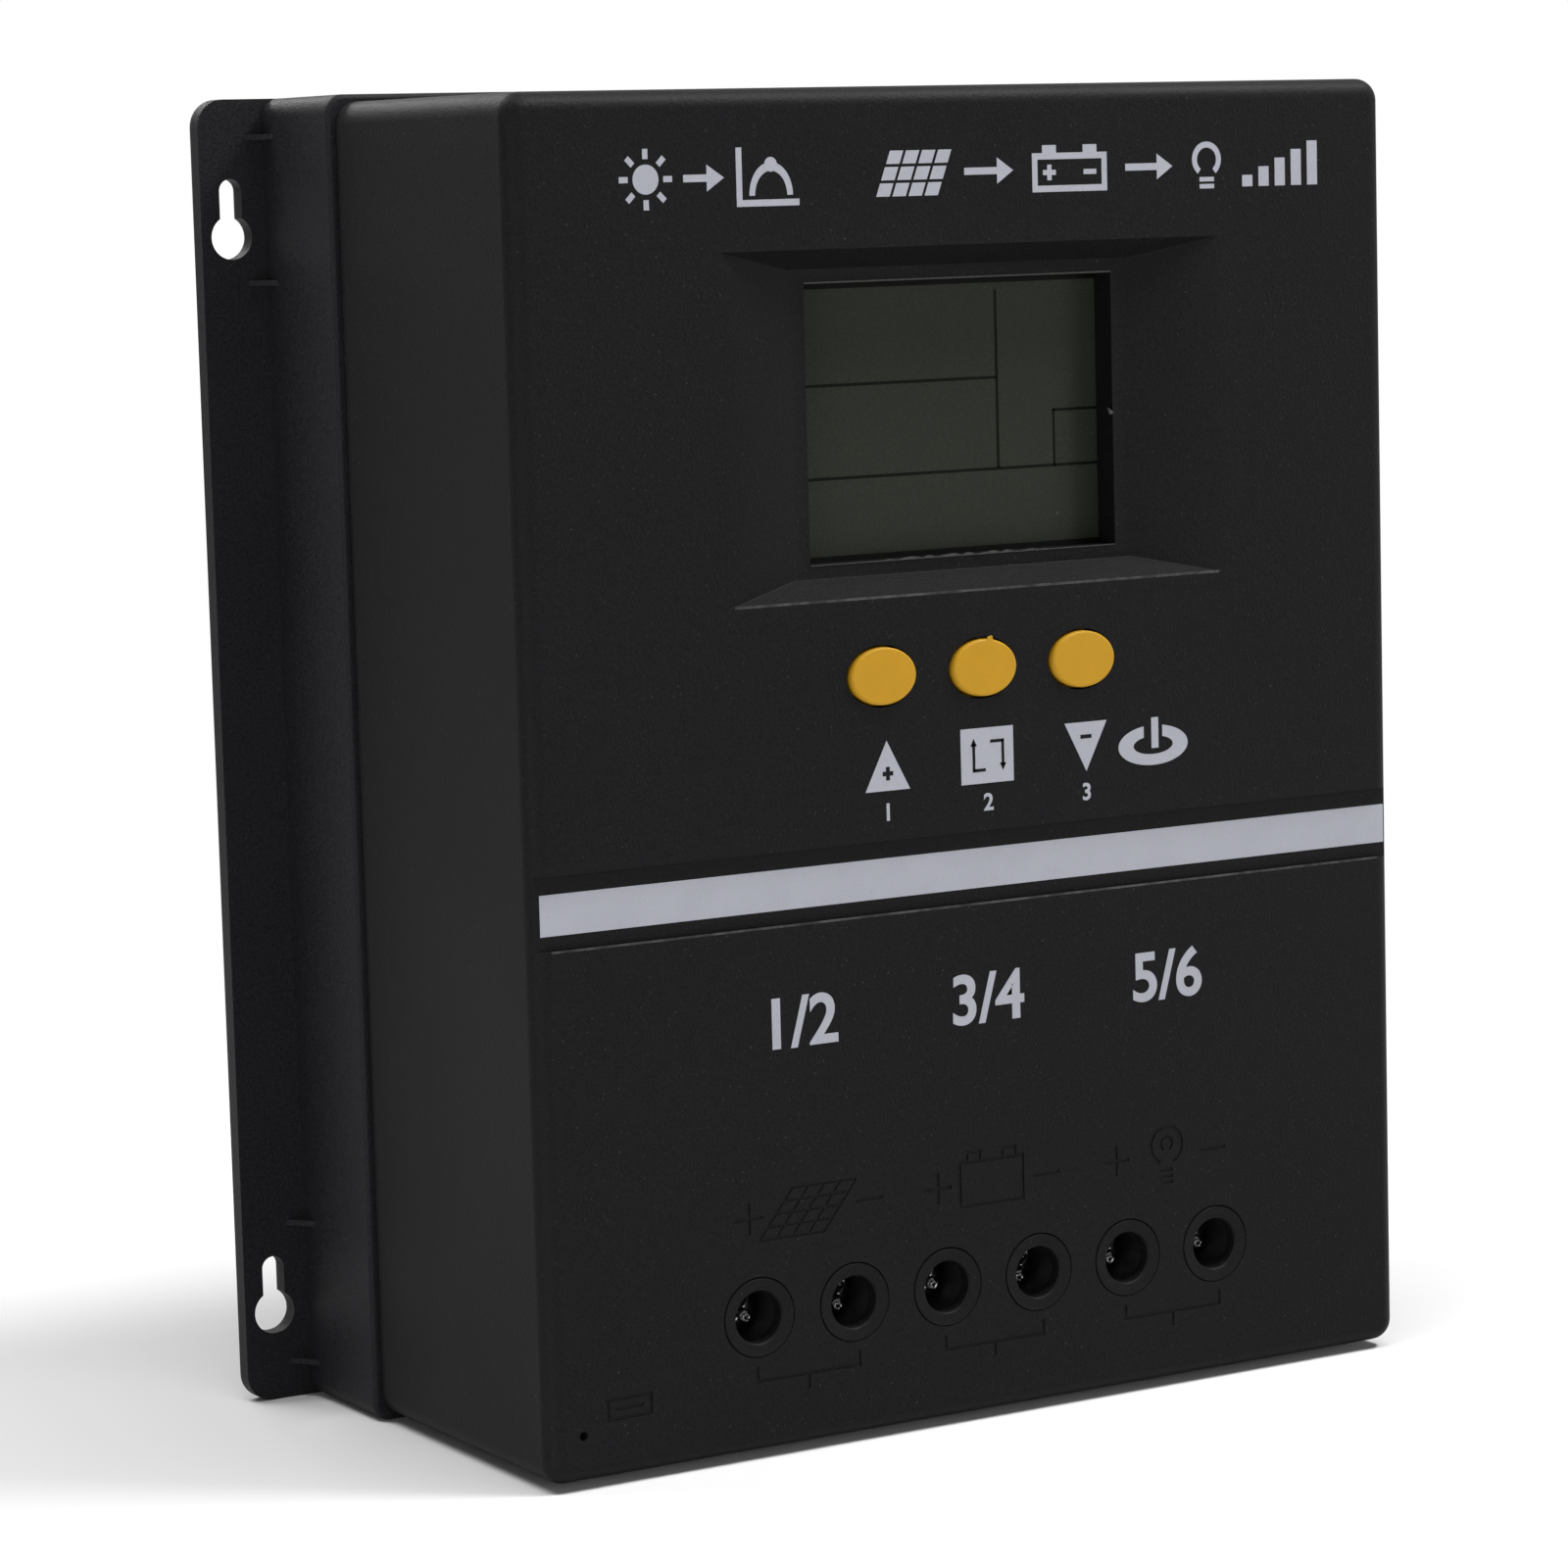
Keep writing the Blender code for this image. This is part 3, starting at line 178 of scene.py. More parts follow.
SCREW_POINT = 0.6

# Fasteners: seat, side that the head looks to, head, head height, shank, length
FASTENERS = {
    "case_screw": (17.7, -1, 6.0, 2.4, 3.0, 15.0),
    "control_screw": (63.9, -1, 5.4, 2.0, 2.6, 8.0),
    "power_screw": (40.3, 1, 5.4, 2.0, 2.6, 8.0),
}
THREAD_PITCH = 1.0
SLOT = 0.8

# Parts on the boards
CAN_X = (-39.0, -9.0)
FILTER_Z = -38.0
CAN = 25.0
CAN_NECK = 22.6
CAN_OUT = (40.3, 74.3)
CAN_SCORE = 0.38 * CAN_NECK
CHOKE_X = 42.0
CHOKE = (30.6, 19.4, 41.95, 53.65)  # core: outside, bore, back, front
CHOKE_SOFT = 0.35
CHOKE_WIRE = 1.5
CHOKE_TURNS = 18
CHIPS = [((12.0, 12.0), 1.4, -22.0, 48.0, 0.4), ((5.0, 6.2), 1.6, 8.0, 40.0, 0.3)]
CHIP_SINK = 0.05
CHIP_GRID = (18.0, 46.0, 3.2, 7.5)  # first place, and the steps across and up
SMALL_CHIP = (1.25, 2.0)
LEAD = (1.2, 0.6)
LEAD_PAST = 0.8
LEAD_OUT = 36.0
LEAD_END = -13.0
LEAD_SPACING = 5.45
MOSFET_X = (-40.5, -13.5, 13.5, 40.5)
MOSFET_FOOT = -10.0
USB = (13.2, 5.9)
USB_WALL = 0.5
USB_DEPTH = 12.0
USB_ENDS = (-103.0, -86.0)
USB_TONGUE = (10.8, 1.9, -102.0, -90.5, 44.05)
USB_CONTACTS = (-3.5, -1.0, 1.0, 3.5)

# Prints
PRINT_LIFT = 0.05
PRINT_SINK = 0.03
LINE_LIFT = 0.03
SIGN_SINK = 0.02
SIGN_LIFT = 0.03
STRIPE = (-78.1, 78.8, -20.35, -14.1)
HEADER_Z = 90.6
CAPTION_X = (-17.5, 1.0, 19.5)
CAPTION_Z = -7.0
CAPTION_HEIGHT = 2.6
NUMBER_Z = -38.0
NUMBER_HEIGHT = 7.6
POLE_PAIRS = (-34.3, 0.0, 34.3)
POWER_GAP = 1.8
POWER_RING = [(6.7, 3.2), (3.8, 1.45)]

# Engraved marks
MARK_DEPTH = 0.17
MARK_LINE = 0.55
MARK_SIGN = 5.0
PLUS_MARKS = [(-44.3, -67.1), (-10.0, -66.8), (23.8, -66.7)]
MINUS_MARKS = [(-22.6, -66.7), (10.4, -66.9), (42.7, -66.9)]
PANEL_MARK = (-42.5, -30.9, -70.7, -63.2)
PANEL_SLANT = 6.0
BATTERY_MARK = (-5.9, 5.9, -70.2, -63.3)
BULB_MARK = (33.6, -65.2)
BRACKET_Z = -92.5
SOCKET_MARK = (-66.0, -91.5)

# Camera, from the photograph's edges
CAMERA_AT = (-0.415272, -0.720163, 0.089629)
CAMERA_RIGHT = (0.85696946, -0.51468716, -0.02646633)
CAMERA_UP = (0.08501572, 0.09052964, 0.99225839)
CAMERA_AHEAD = (0.50830667, 0.85258519, -0.12133763)
CAMERA_LENS = 112.916
CAMERA_SENSOR = 36.0

# Stage, in metres: each lamp's place, aim, size and power
FLOOR_Z = -0.105
FLOOR_SIZE = 40.0
FLOOR_FADE = (0.14, 0.42)
WORLD_LIGHT = 0.03
LAMPS = {
    "overhead": ((-0.05, -0.26, 0.95), (0, -0.08, 0), (0.7, 0.2), 5.0),
    "upper_right": ((0.5, -0.38, 0.85), (0, -0.08, 0.1), (0.4, 0.15), 10.0),
    "front_left": ((-0.35, -1.2, 0.1), (0, -0.04, 0), (0.6, 0.6), 2.2),
    "right": ((1.3, -1.0, 0.1), (0, -0.04, 0), (0.7, 0.8), 4.6),
    "low_left": ((-0.8, -0.55, -0.06), (-0.08, -0.04, -0.06), (0.5, 0.1), 2.2),
    "floor_left": ((-0.4, 0.3, 0.75), (-0.27, 0.2, -0.1), (0.4, 0.4), 4.2),
    "behind": ((-0.1, 0.95, 0.6), (0, -0.04, 0.1), (0.5, 0.12), 2.5),
}

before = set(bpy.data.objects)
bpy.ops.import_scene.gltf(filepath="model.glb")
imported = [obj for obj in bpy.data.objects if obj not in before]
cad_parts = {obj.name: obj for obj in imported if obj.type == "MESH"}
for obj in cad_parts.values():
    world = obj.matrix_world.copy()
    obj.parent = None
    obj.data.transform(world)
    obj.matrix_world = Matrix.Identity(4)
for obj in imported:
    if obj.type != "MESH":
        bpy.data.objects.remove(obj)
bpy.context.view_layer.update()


class Stock:
    """Solids in one bmesh, in millimetres. Its flat marks lie between two distances out."""

    def __init__(self, near=0.0, far=0.0):
        self.mesh = bmesh.new()
        self.near = near
        self.far = far

    def add(self, solid, x=0.0, out=0.0, z=0.0):
        """Take in a solid, moved to its place."""
        bmesh.ops.translate(solid, vec=(x, -out, z), verts=solid.verts)
        carrier = bpy.data.meshes.new("carrier")
        solid.to_mesh(carrier)
        solid.free()
        self.mesh.from_mesh(carrier)
        bpy.data.meshes.remove(carrier)
        return self

    def plate(self, size, near, far, x=0.0, z=0.0, corner=0.0, steps=8, front=0.0, back=0.0):
        """A block square to the wall, with rounded corners and rounded front and back edges."""
        solid = cube(size[0], far - near, size[1])
        if corner:
            round_edges(solid, edges_along(solid, 1), corner, steps)
        for radius, level in ((front, near - far), (back, far - near)):
            if radius:
                ends = [edge for edge in solid.edges
                        if all(abs(vert.co.y - level / 2) < CLOSE for vert in edge.verts)]
                round_edges(solid, ends, radius, steps)
        return self.add(solid, x, (near + far) / 2, z)

    def upright(self, size, low, high, x=0.0, out=0.0, corner=0.0, steps=4):
        """A block that stands up, with rounded upright edges."""
        solid = cube(*size, high - low)
        if corner:
            round_edges(solid, edges_along(solid, 2), corner, steps)
        return self.add(solid, x, out, (low + high) / 2)

    def funnel(self, back_size, front_size, near, far, x, z):
        """A block whose front is larger or smaller than its back."""
        solid = cube(1.0, far - near, 1.0)
        for vert in solid.verts:
            size = front_size if vert.co.y < 0 else back_size
            vert.co.x *= size[0]
            vert.co.z *= size[1]
        return self.add(solid, x, (near + far) / 2, z)

    def turned(self, profile, x=0.0, z=0.0, steps=48, squash=1.0):
        """A round or oval solid square to the wall, from (diameter, out) pairs between its ends."""
        solid = bmesh.new()
        points = [(0.0, profile[0][1]), *profile, (0.0, profile[-1][1])]
        verts = [solid.verts.new((across / 2, -out, 0.0)) for across, out in points]
        edges = [solid.edges.new(pair) for pair in zip(verts, verts[1:])]
        bmesh.ops.spin(solid, geom=verts + edges, cent=(0, 0, 0), axis=(0, 1, 0), angle=math.tau,
                       steps=steps, use_merge=True)
        bmesh.ops.remove_doubles(solid, verts=solid.verts, dist=CLOSE)
        hubs = [vert for vert in solid.verts if vert.co.xz.length < CLOSE]
        bmesh.ops.dissolve_verts(solid, verts=hubs)
        bmesh.ops.recalc_face_normals(solid, faces=solid.faces)
        bmesh.ops.scale(solid, vec=(1, 1, squash), verts=solid.verts)
        return self.add(solid, x, 0.0, z)

    def rounds(self, places, profile, steps=32):
        """The same round solid at several (x, z) places."""
        for x, z in places:
            self.turned(profile, x, z, steps)
        return self

    def outline(self, points):
        """A flat shape of (x, z) points."""
        solid = bmesh.new()
        face = solid.faces.new([solid.verts.new((x, -self.near, z)) for x, z in points])
        return self.add(thicken(solid, face, (0, self.near - self.far, 0)))

    def stroke(self, start, end, width):
        """A straight flat line from one (x, z) point to another."""
        run = Vector(end) - Vector(start)
        solid = cube(run.length, self.far - self.near, width)
        turn = Matrix.Rotation(-math.atan2(run.y, run.x), 3, "Y")
        bmesh.ops.rotate(solid, cent=(0, 0, 0), matrix=turn, verts=solid.verts)
        middle = (Vector(start) + Vector(end)) / 2
        return self.add(solid, middle.x, (self.near + self.far) / 2, middle.y)

    def path(self, points, width):
        """Straight flat lines through a row of points; each runs half a width past its ends."""
        for start, end in zip(points, points[1:]):
            lead = (Vector(end) - Vector(start)).normalized() * width / 2
            self.stroke(Vector(start) - lead, Vector(end) + lead, width)
        return self

    def arc(self, x, z, across, width, start, sweep, squash=1.0, steps=48):
        """Part of a flat ring, by angles in degrees from the right, anticlockwise."""
        solid = bmesh.new()
        inner, outer = across / 2 - width, across / 2
        corners = [(inner, self.near), (outer, self.near), (outer, self.far), (inner, self.far)]
        solid.faces.new([solid.verts.new((reach, -out, 0)) for reach, out in corners])
        turn = Matrix.Rotation(math.radians(-start), 3, "Y")
        bmesh.ops.rotate(solid, cent=(0, 0, 0), matrix=turn, verts=solid.verts)
        bmesh.ops.spin(solid, geom=solid.faces[:], cent=(0, 0, 0), axis=(0, -1, 0),
                       angle=math.radians(sweep), steps=steps)
        bmesh.ops.recalc_face_normals(solid, faces=solid.faces)
        bmesh.ops.scale(solid, vec=(1, 1, squash), verts=solid.verts)
        return self.add(solid, x, 0.0, z)

    def curve(self, curve, turn=None):
        """What a curve's bevel or extrusion makes of it."""
        holder = bpy.data.objects.new("curve", curve)
        mesh = bpy.data.meshes.new_from_object(holder)
        solid = bmesh.new()
        solid.from_mesh(mesh)
        bpy.data.objects.remove(holder)
        bpy.data.curves.remove(curve)
        bpy.data.meshes.remove(mesh)
        if turn:
            bmesh.ops.transform(solid, matrix=turn, verts=solid.verts)
        return self.add(solid)

    def text(self, words, x, z, height, weight):
        """Upright figures centred on a point, facing the viewer."""
        curve = bpy.data.curves.new("figures", "FONT")
        curve.body = words
        curve.size = height / FIGURE_HEIGHT
        curve.align_x = "CENTER"
        curve.align_y = "CENTER"
        curve.offset = weight
        curve.extrude = (self.far - self.near) / 2
        place = Matrix.Translation((x, -(self.near + self.far) / 2, z))
        return self.curve(curve, place @ Matrix.Rotation(math.radians(90), 4, "X"))

    def wire(self, points, across):
        """A round wire through a row of (x, out, z) points."""
        curve = bpy.data.curves.new("wire", "CURVE")
        curve.dimensions = "3D"
        curve.bevel_depth = across / 2
        curve.bevel_resolution = 2
        curve.use_fill_caps = True
        spline = curve.splines.new("POLY")
        spline.points.add(len(points) - 1)
        for knot, (x, out, z) in zip(spline.points, points):
            knot.co = (x, -out, z, 1.0)
        return self.curve(curve)

    def packed(self, name):
        """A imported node's solid, with its triangles merged."""
        solid = bmesh.new()
        solid.from_mesh(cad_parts[name].data)
        bmesh.ops.scale(solid, vec=(1 / MM, 1 / MM, 1 / MM), verts=solid.verts)
        bmesh.ops.remove_doubles(solid, verts=solid.verts, dist=CLOSE)
        join_flat(solid, math.radians(1))
        return self.add(solid)


def cube(wide, deep, high):
    solid = bmesh.new()
    bmesh.ops.create_cube(solid, size=1)
    bmesh.ops.scale(solid, vec=(wide, deep, high), verts=solid.verts)
    return solid


def edges_along(solid, axis):
    return [edge for edge in solid.edges
            if abs(edge.verts[0].co[axis] - edge.verts[1].co[axis]) > CLOSE]


def thicken(solid, face, way):
    """Turn a solid's only face into a closed form."""
    grown = bmesh.ops.extrude_face_region(solid, geom=[face])["geom"]
    moved = [item for item in grown if isinstance(item, bmesh.types.BMVert)]
    bmesh.ops.translate(solid, vec=way, verts=moved)
    bmesh.ops.recalc_face_normals(solid, faces=solid.faces)
    return solid


def join_flat(solid, angle):
    bmesh.ops.dissolve_limit(solid, angle_limit=angle, verts=solid.verts, edges=solid.edges)


def round_edges(solid, edges, radius, steps):
    bmesh.ops.bevel(solid, geom=edges, offset=radius, segments=steps, profile=0.5, affect="EDGES",
                    material=-1)


def settle(name, stock):
    """The object of a stock, still in millimetres."""
    mesh = bpy.data.meshes.new(name)
    stock.mesh.to_mesh(mesh)
    stock.mesh.free()
    piece = bpy.data.objects.new(name, mesh)
    bpy.context.scene.collection.objects.link(piece)
    return piece


def keep_modifiers(piece):
    """Replace a piece's mesh by what its modifiers make of it."""
    graph = bpy.context.evaluated_depsgraph_get()
    made = bpy.data.meshes.new_from_object(piece.evaluated_get(graph))
    old = piece.data
    piece.modifiers.clear()
    piece.data = made
    made.name = piece.name
    bpy.data.meshes.remove(old)


def carve(piece, stock, operation="DIFFERENCE"):
    """Cut a stock out of a piece, or join it on."""
    tool = settle("tool", stock)
    step = piece.modifiers.new("carve", "BOOLEAN")
    step.operation = operation
    step.solver = "EXACT"
    step.object = tool
    keep_modifiers(piece)
    bpy.data.objects.remove(tool)


def tidy_faces(piece):
    """Merge the near-double points that cuts leave, and join flat neighbours into one face."""
    solid = bmesh.new()
    solid.from_mesh(piece.data)
    join_flat(solid, FLAT)
    bmesh.ops.remove_doubles(solid, verts=solid.verts, dist=NEAR)
    bmesh.ops.dissolve_degenerate(solid, edges=solid.edges, dist=NEAR)
    solid.to_mesh(piece.data)
    solid.free()


def soften(piece, width, segments=2, angle=32.0, clamp=True):
    """Break sharp edges by a small rounding."""
    tidy_faces(piece)
    step = piece.modifiers.new("soften", "BEVEL")
    step.width = width
    step.segments = segments
    step.limit_method = "ANGLE"
    step.angle_limit = math.radians(angle)
    step.use_clamp_overlap = clamp
    keep_modifiers(piece)


def finish_piece(piece, finish, body="housing", stands_for=(), smooth=35.0):
    """Scale a piece to metres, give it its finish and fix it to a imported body."""
    piece.data.transform(Matrix.Scale(MM, 4))
    piece.data.materials.clear()
    piece.data.materials.append(finish)
    piece.data.shade_smooth()
    piece.data.set_sharp_from_angle(angle=math.radians(smooth))
    even = piece.modifiers.new("even", "WEIGHTED_NORMAL")
    even.keep_sharp = True
    keep_modifiers(piece)
    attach(piece, body)
    if stands_for:
        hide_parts(*stands_for)
    return piece


class Socket:
    """A node's output that can stand in sums and products."""

    def __init__(self, owner, output):
        self.owner = owner
        self.output = output

    def maths(self, operation, first, second):
        return self.owner.node("ShaderNodeMath", {"operation": operation}, {0: first, 1: second})

    def __add__(self, other):
        return self.maths("ADD", self, other)

    def __rsub__(self, other):
        return self.maths("SUBTRACT", other, self)

    def __mul__(self, other):
        return self.maths("MULTIPLY", self, other)

    def __lt__(self, other):
        return self.maths("LESS_THAN", self, other)

    __radd__ = __add__
    __rmul__ = __mul__


class Nodes:
    """A node tree and what is added to it."""

    def __init__(self, tree):
        self.tree = tree

    def node(self, kind, settings=None, sockets=None, output=0):
        made = self.tree.nodes.new(kind)
        for key, value in (settings or {}).items():
            setattr(made, key, value)
        self.feed(made, sockets or {})
        return Socket(self, made.outputs[output])

    def feed(self, node, sockets):
        """Link or set a node's inputs; colours come without their alpha."""
        for key, value in sockets.items():
            socket = node.inputs[key]
            if isinstance(value, Socket):
                self.tree.links.new(value.output, socket)
            else:
                socket.default_value = (*value, 1.0) if socket.type == "RGBA" else value


class Finish(Nodes):
    """A procedural material with one Principled shader."""

    def __init__(self, name, **constants):
        self.material = bpy.data.materials.new(name)
        self.material.use_nodes = True
        super().__init__(self.material.node_tree)
        self.shader = self.tree.nodes["Principled BSDF"]
        self.place = self.node("ShaderNodeTexCoord", output="Object")
        self.done(**constants)

    def noise(self, scale, detail=2.0, roughness=0.5, stretch=(1.0, 1.0, 1.0)):
        """Noise whose grains are about 1/scale metres across, from 0 to 1 about 0.5."""
        place = self.node("ShaderNodeMapping", None, {"Vector": self.place, "Scale": stretch})
        return self.node("ShaderNodeTexNoise", None, {"Vector": place, "Scale": scale, "Detail": detail,
                                                      "Roughness": roughness})

    def steps(self, value, low, high):
        """A soft step from 0 to 1 as a value passes between two thresholds."""
        return self.node("ShaderNodeMapRange", {"interpolation_type": "SMOOTHSTEP"},
                         {"Value": value, "From Min": low, "From Max": high})

    def mix(self, factor, first, second):
        return self.node("ShaderNodeMix", {"data_type": "RGBA"}, {0: factor, 6: first, 7: second},
                         output=2)

    def axis(self, name):
        return self.node("ShaderNodeSeparateXYZ", None, {0: self.place}, output=name)

    def bump(self, height, depth, strength):
        return self.node("ShaderNodeBump", None,
                         {"Height": height, "Distance": depth, "Strength": strength})

    def done(self, **sockets):
        self.feed(self.shader, {key.replace("_", " "): value for key, value in sockets.items()})
        return self.material


def grey(level):
    return (level, level, level)


def moulded_black(name, painted_lift=1.0):
    """Spark-eroded black plastic: satin grain, with paler specks painted in as glints; a factor above 1
    paints the whole black paler, as painted light.
    """
    # a factor above 1 paints the black paler, as painted light
    def black(level):
        return (level * painted_lift, level * painted_lift * 0.98, level * painted_lift * 1.12)

    finish = Finish(name, Specular_IOR_Level=0.08)
    grain = finish.noise(2300, 2.0, 0.6)
    cloud = finish.noise(45, 3.0, 0.5)
    # painted glints: pale specks in the colour stand for sparkle off the grain
    glint_specks = finish.steps(finish.noise(2400, 1.0, 0.4), 0.745, 0.785)
    dark = finish.mix(cloud, black(0.0029), black(0.0036))
    pale = finish.mix(cloud, black(0.0057), black(0.0072))
    base = finish.mix(finish.steps(grain, 0.34, 0.66), dark, pale)
    glinted = finish.mix(glint_specks * 0.45, base, (0.070, 0.068, 0.064))
    return finish.done(Base_Color=glinted, Roughness=0.40 + 0.16 * grain + 0.08 * cloud,
                       Normal=finish.bump(grain, 0.0002, 0.4))


def two_tone(name, first, second, cloud, grain, rough, bump=None, dull=0.0, **constants):
    """Two close tones, mixed by soft clouds and roughened by a grain; both are noise settings."""
    finish = Finish(name, **constants)
    patch = finish.noise(*cloud)
    fine = finish.noise(*grain) if grain else patch
    made = {"Base_Color": finish.mix(patch, first, second),
            "Roughness": rough[0] + rough[1] * fine + dull * patch}
    if bump:
        made["Normal"] = finish.bump(fine, *bump)
    return finish.done(**made)


def white_plastic(name, first, second):
    return two_tone(name, first, second, (90, 3.0, 0.5), (2500, 2.0, 0.5), (0.42, 0.2), (0.00004, 0.4))


def print_ink():
    """Pad-printed pale grey ink, thin in places."""
    finish = Finish("print_ink", Specular_IOR_Level=0.2)
    speck = finish.noise(2600, 2.0, 0.6)
    patch = finish.noise(160, 3.0, 0.6)
    thin = finish.steps(speck, 0.60, 0.76)
    ink = finish.mix(patch, (0.300, 0.306, 0.345), (0.345, 0.351, 0.392))
    worn = finish.mix(thin * 0.45, ink, (0.20, 0.204, 0.230))
    return finish.done(Base_Color=worn, Roughness=0.52 + 0.2 * speck,
                       Normal=finish.bump(speck, 0.00004, 0.5))


def display_film():
    """Unlit display: grey-green film under glass, with a fine grain and some dust."""
    finish = Finish("display_film", Specular_IOR_Level=0.08)
    grain = finish.noise(4200, 1.0, 0.5)
    dust = finish.steps(finish.noise(620, 1.0, 0.3), 0.785, 0.805)
    base = finish.mix(grain, (0.0175, 0.0202, 0.0150), (0.0300, 0.0328, 0.0252))
    dusty = finish.mix(dust * 0.3, base, (0.16, 0.16, 0.15))
    return finish.done(Base_Color=dusty, Roughness=0.24 + 0.06 * grain)


def edge_highlight_paint():
    """Black plastic painted grey in patches, as a painted highlight on a lit edge."""
    finish = Finish("edge_highlight_paint", Specular_IOR_Level=0.15)
    patch = finish.noise(420, 3.0, 0.6)
    base = finish.mix(finish.steps(patch, 0.3, 0.7), grey(0.016), (0.060, 0.058, 0.058))
    return finish.done(Base_Color=base, Roughness=0.38 + 0.2 * patch,
                       Normal=finish.bump(patch, 0.00006, 0.5))


def circuit_board():
    """Green solder mask over copper tracks, with bare tinned dots."""
    finish = Finish("circuit_board")
    flat = finish.node("ShaderNodeMapping", None,
                       {"Vector": finish.place, "Rotation": (math.radians(90), 0, 0)})
    across = finish.node("ShaderNodeTexBrick", {"offset": 0.5},
                         {"Vector": flat, "Scale": 110.0, "Mortar Size": 0.09, "Color1": grey(0),
                          "Color2": grey(0), "Mortar": grey(1)}, output="Fac")
    patch = finish.steps(finish.noise(70, 2.0, 0.5), 0.47, 0.50)
    track = across * patch
    pads = finish.node("ShaderNodeTexVoronoi", {"feature": "F1"},
                       {"Vector": finish.place, "Scale": 210.0, "Randomness": 0.35})
    dots = (pads < 0.17) * (1 - patch)
    mask = finish.mix(track, (0.010, 0.085, 0.034), (0.016, 0.112, 0.044))
    board = finish.mix(dots, mask, (0.55, 0.55, 0.53))
    return finish.done(Base_Color=board, Metallic=dots, Roughness=0.38 - 0.12 * track + 0.06 * dots,
                       Normal=finish.bump(track + dots, 0.00005, 0.6))


def plated_steel(name, first, second, rough):
    """Plated steel with fine tool marks and a little dullness."""
    return two_tone(name, first, second, (220, 3.0, 0.6), (700, 3.0, 0.6, (1.0, 6.0, 1.0)),
                    (rough, 0.14), (0.00003, 0.5), 0.10, Metallic=1.0)


def drawn_aluminium():
    """Extruded aluminium with die lines along its length."""
    finish = Finish("drawn_aluminium", Metallic=1.0)
    lines = finish.noise(1500, 3.0, 0.6, (1.0, 1.0, 0.02))
    dull = finish.noise(60, 3.0, 0.5)
    base = finish.mix(lines, (0.50, 0.51, 0.52), (0.64, 0.65, 0.66))
    return finish.done(Base_Color=base, Roughness=0.30 + 0.16 * lines + 0.1 * dull,
                       Normal=finish.bump(lines, 0.00004, 0.5))


def can_sleeve():
    """Shrink sleeve with one pale stripe along the can."""
    finish = Finish("can_sleeve")
    wave = finish.noise(120, 2.0, 0.5, (1.0, 0.3, 1.0))
    stripe = finish.steps(finish.axis("Z"), -0.0268, -0.0255)
    base = finish.mix(wave, (0.012, 0.012, 0.030), (0.020, 0.020, 0.045))
    sleeve = finish.mix(stripe, base, (0.45, 0.45, 0.47))
    return finish.done(Base_Color=sleeve, Roughness=0.24 + 0.16 * wave,
                       Normal=finish.bump(wave, 0.0002, 0.3))


def ribbon_grey():
    """Flat cable: a row of round leads, the first one marked."""
    finish = Finish("ribbon_grey")
    ridges = finish.node("ShaderNodeTexWave", {"wave_type": "BANDS", "bands_direction": "X"},
                         {"Vector": finish.place, "Scale": 247.0, "Distortion": 0.0}, output="Fac")
    first = finish.steps(finish.axis("X"), 0.0093, 0.0091)
    base = finish.mix(ridges, (0.24, 0.24, 0.25), (0.40, 0.40, 0.41))
    marked = finish.mix(first, base, (0.45, 0.03, 0.02))
    return finish.done(Base_Color=marked, Roughness=0.42 + 0.1 * ridges,
                       Normal=finish.bump(ridges, 0.0002, 0.8))


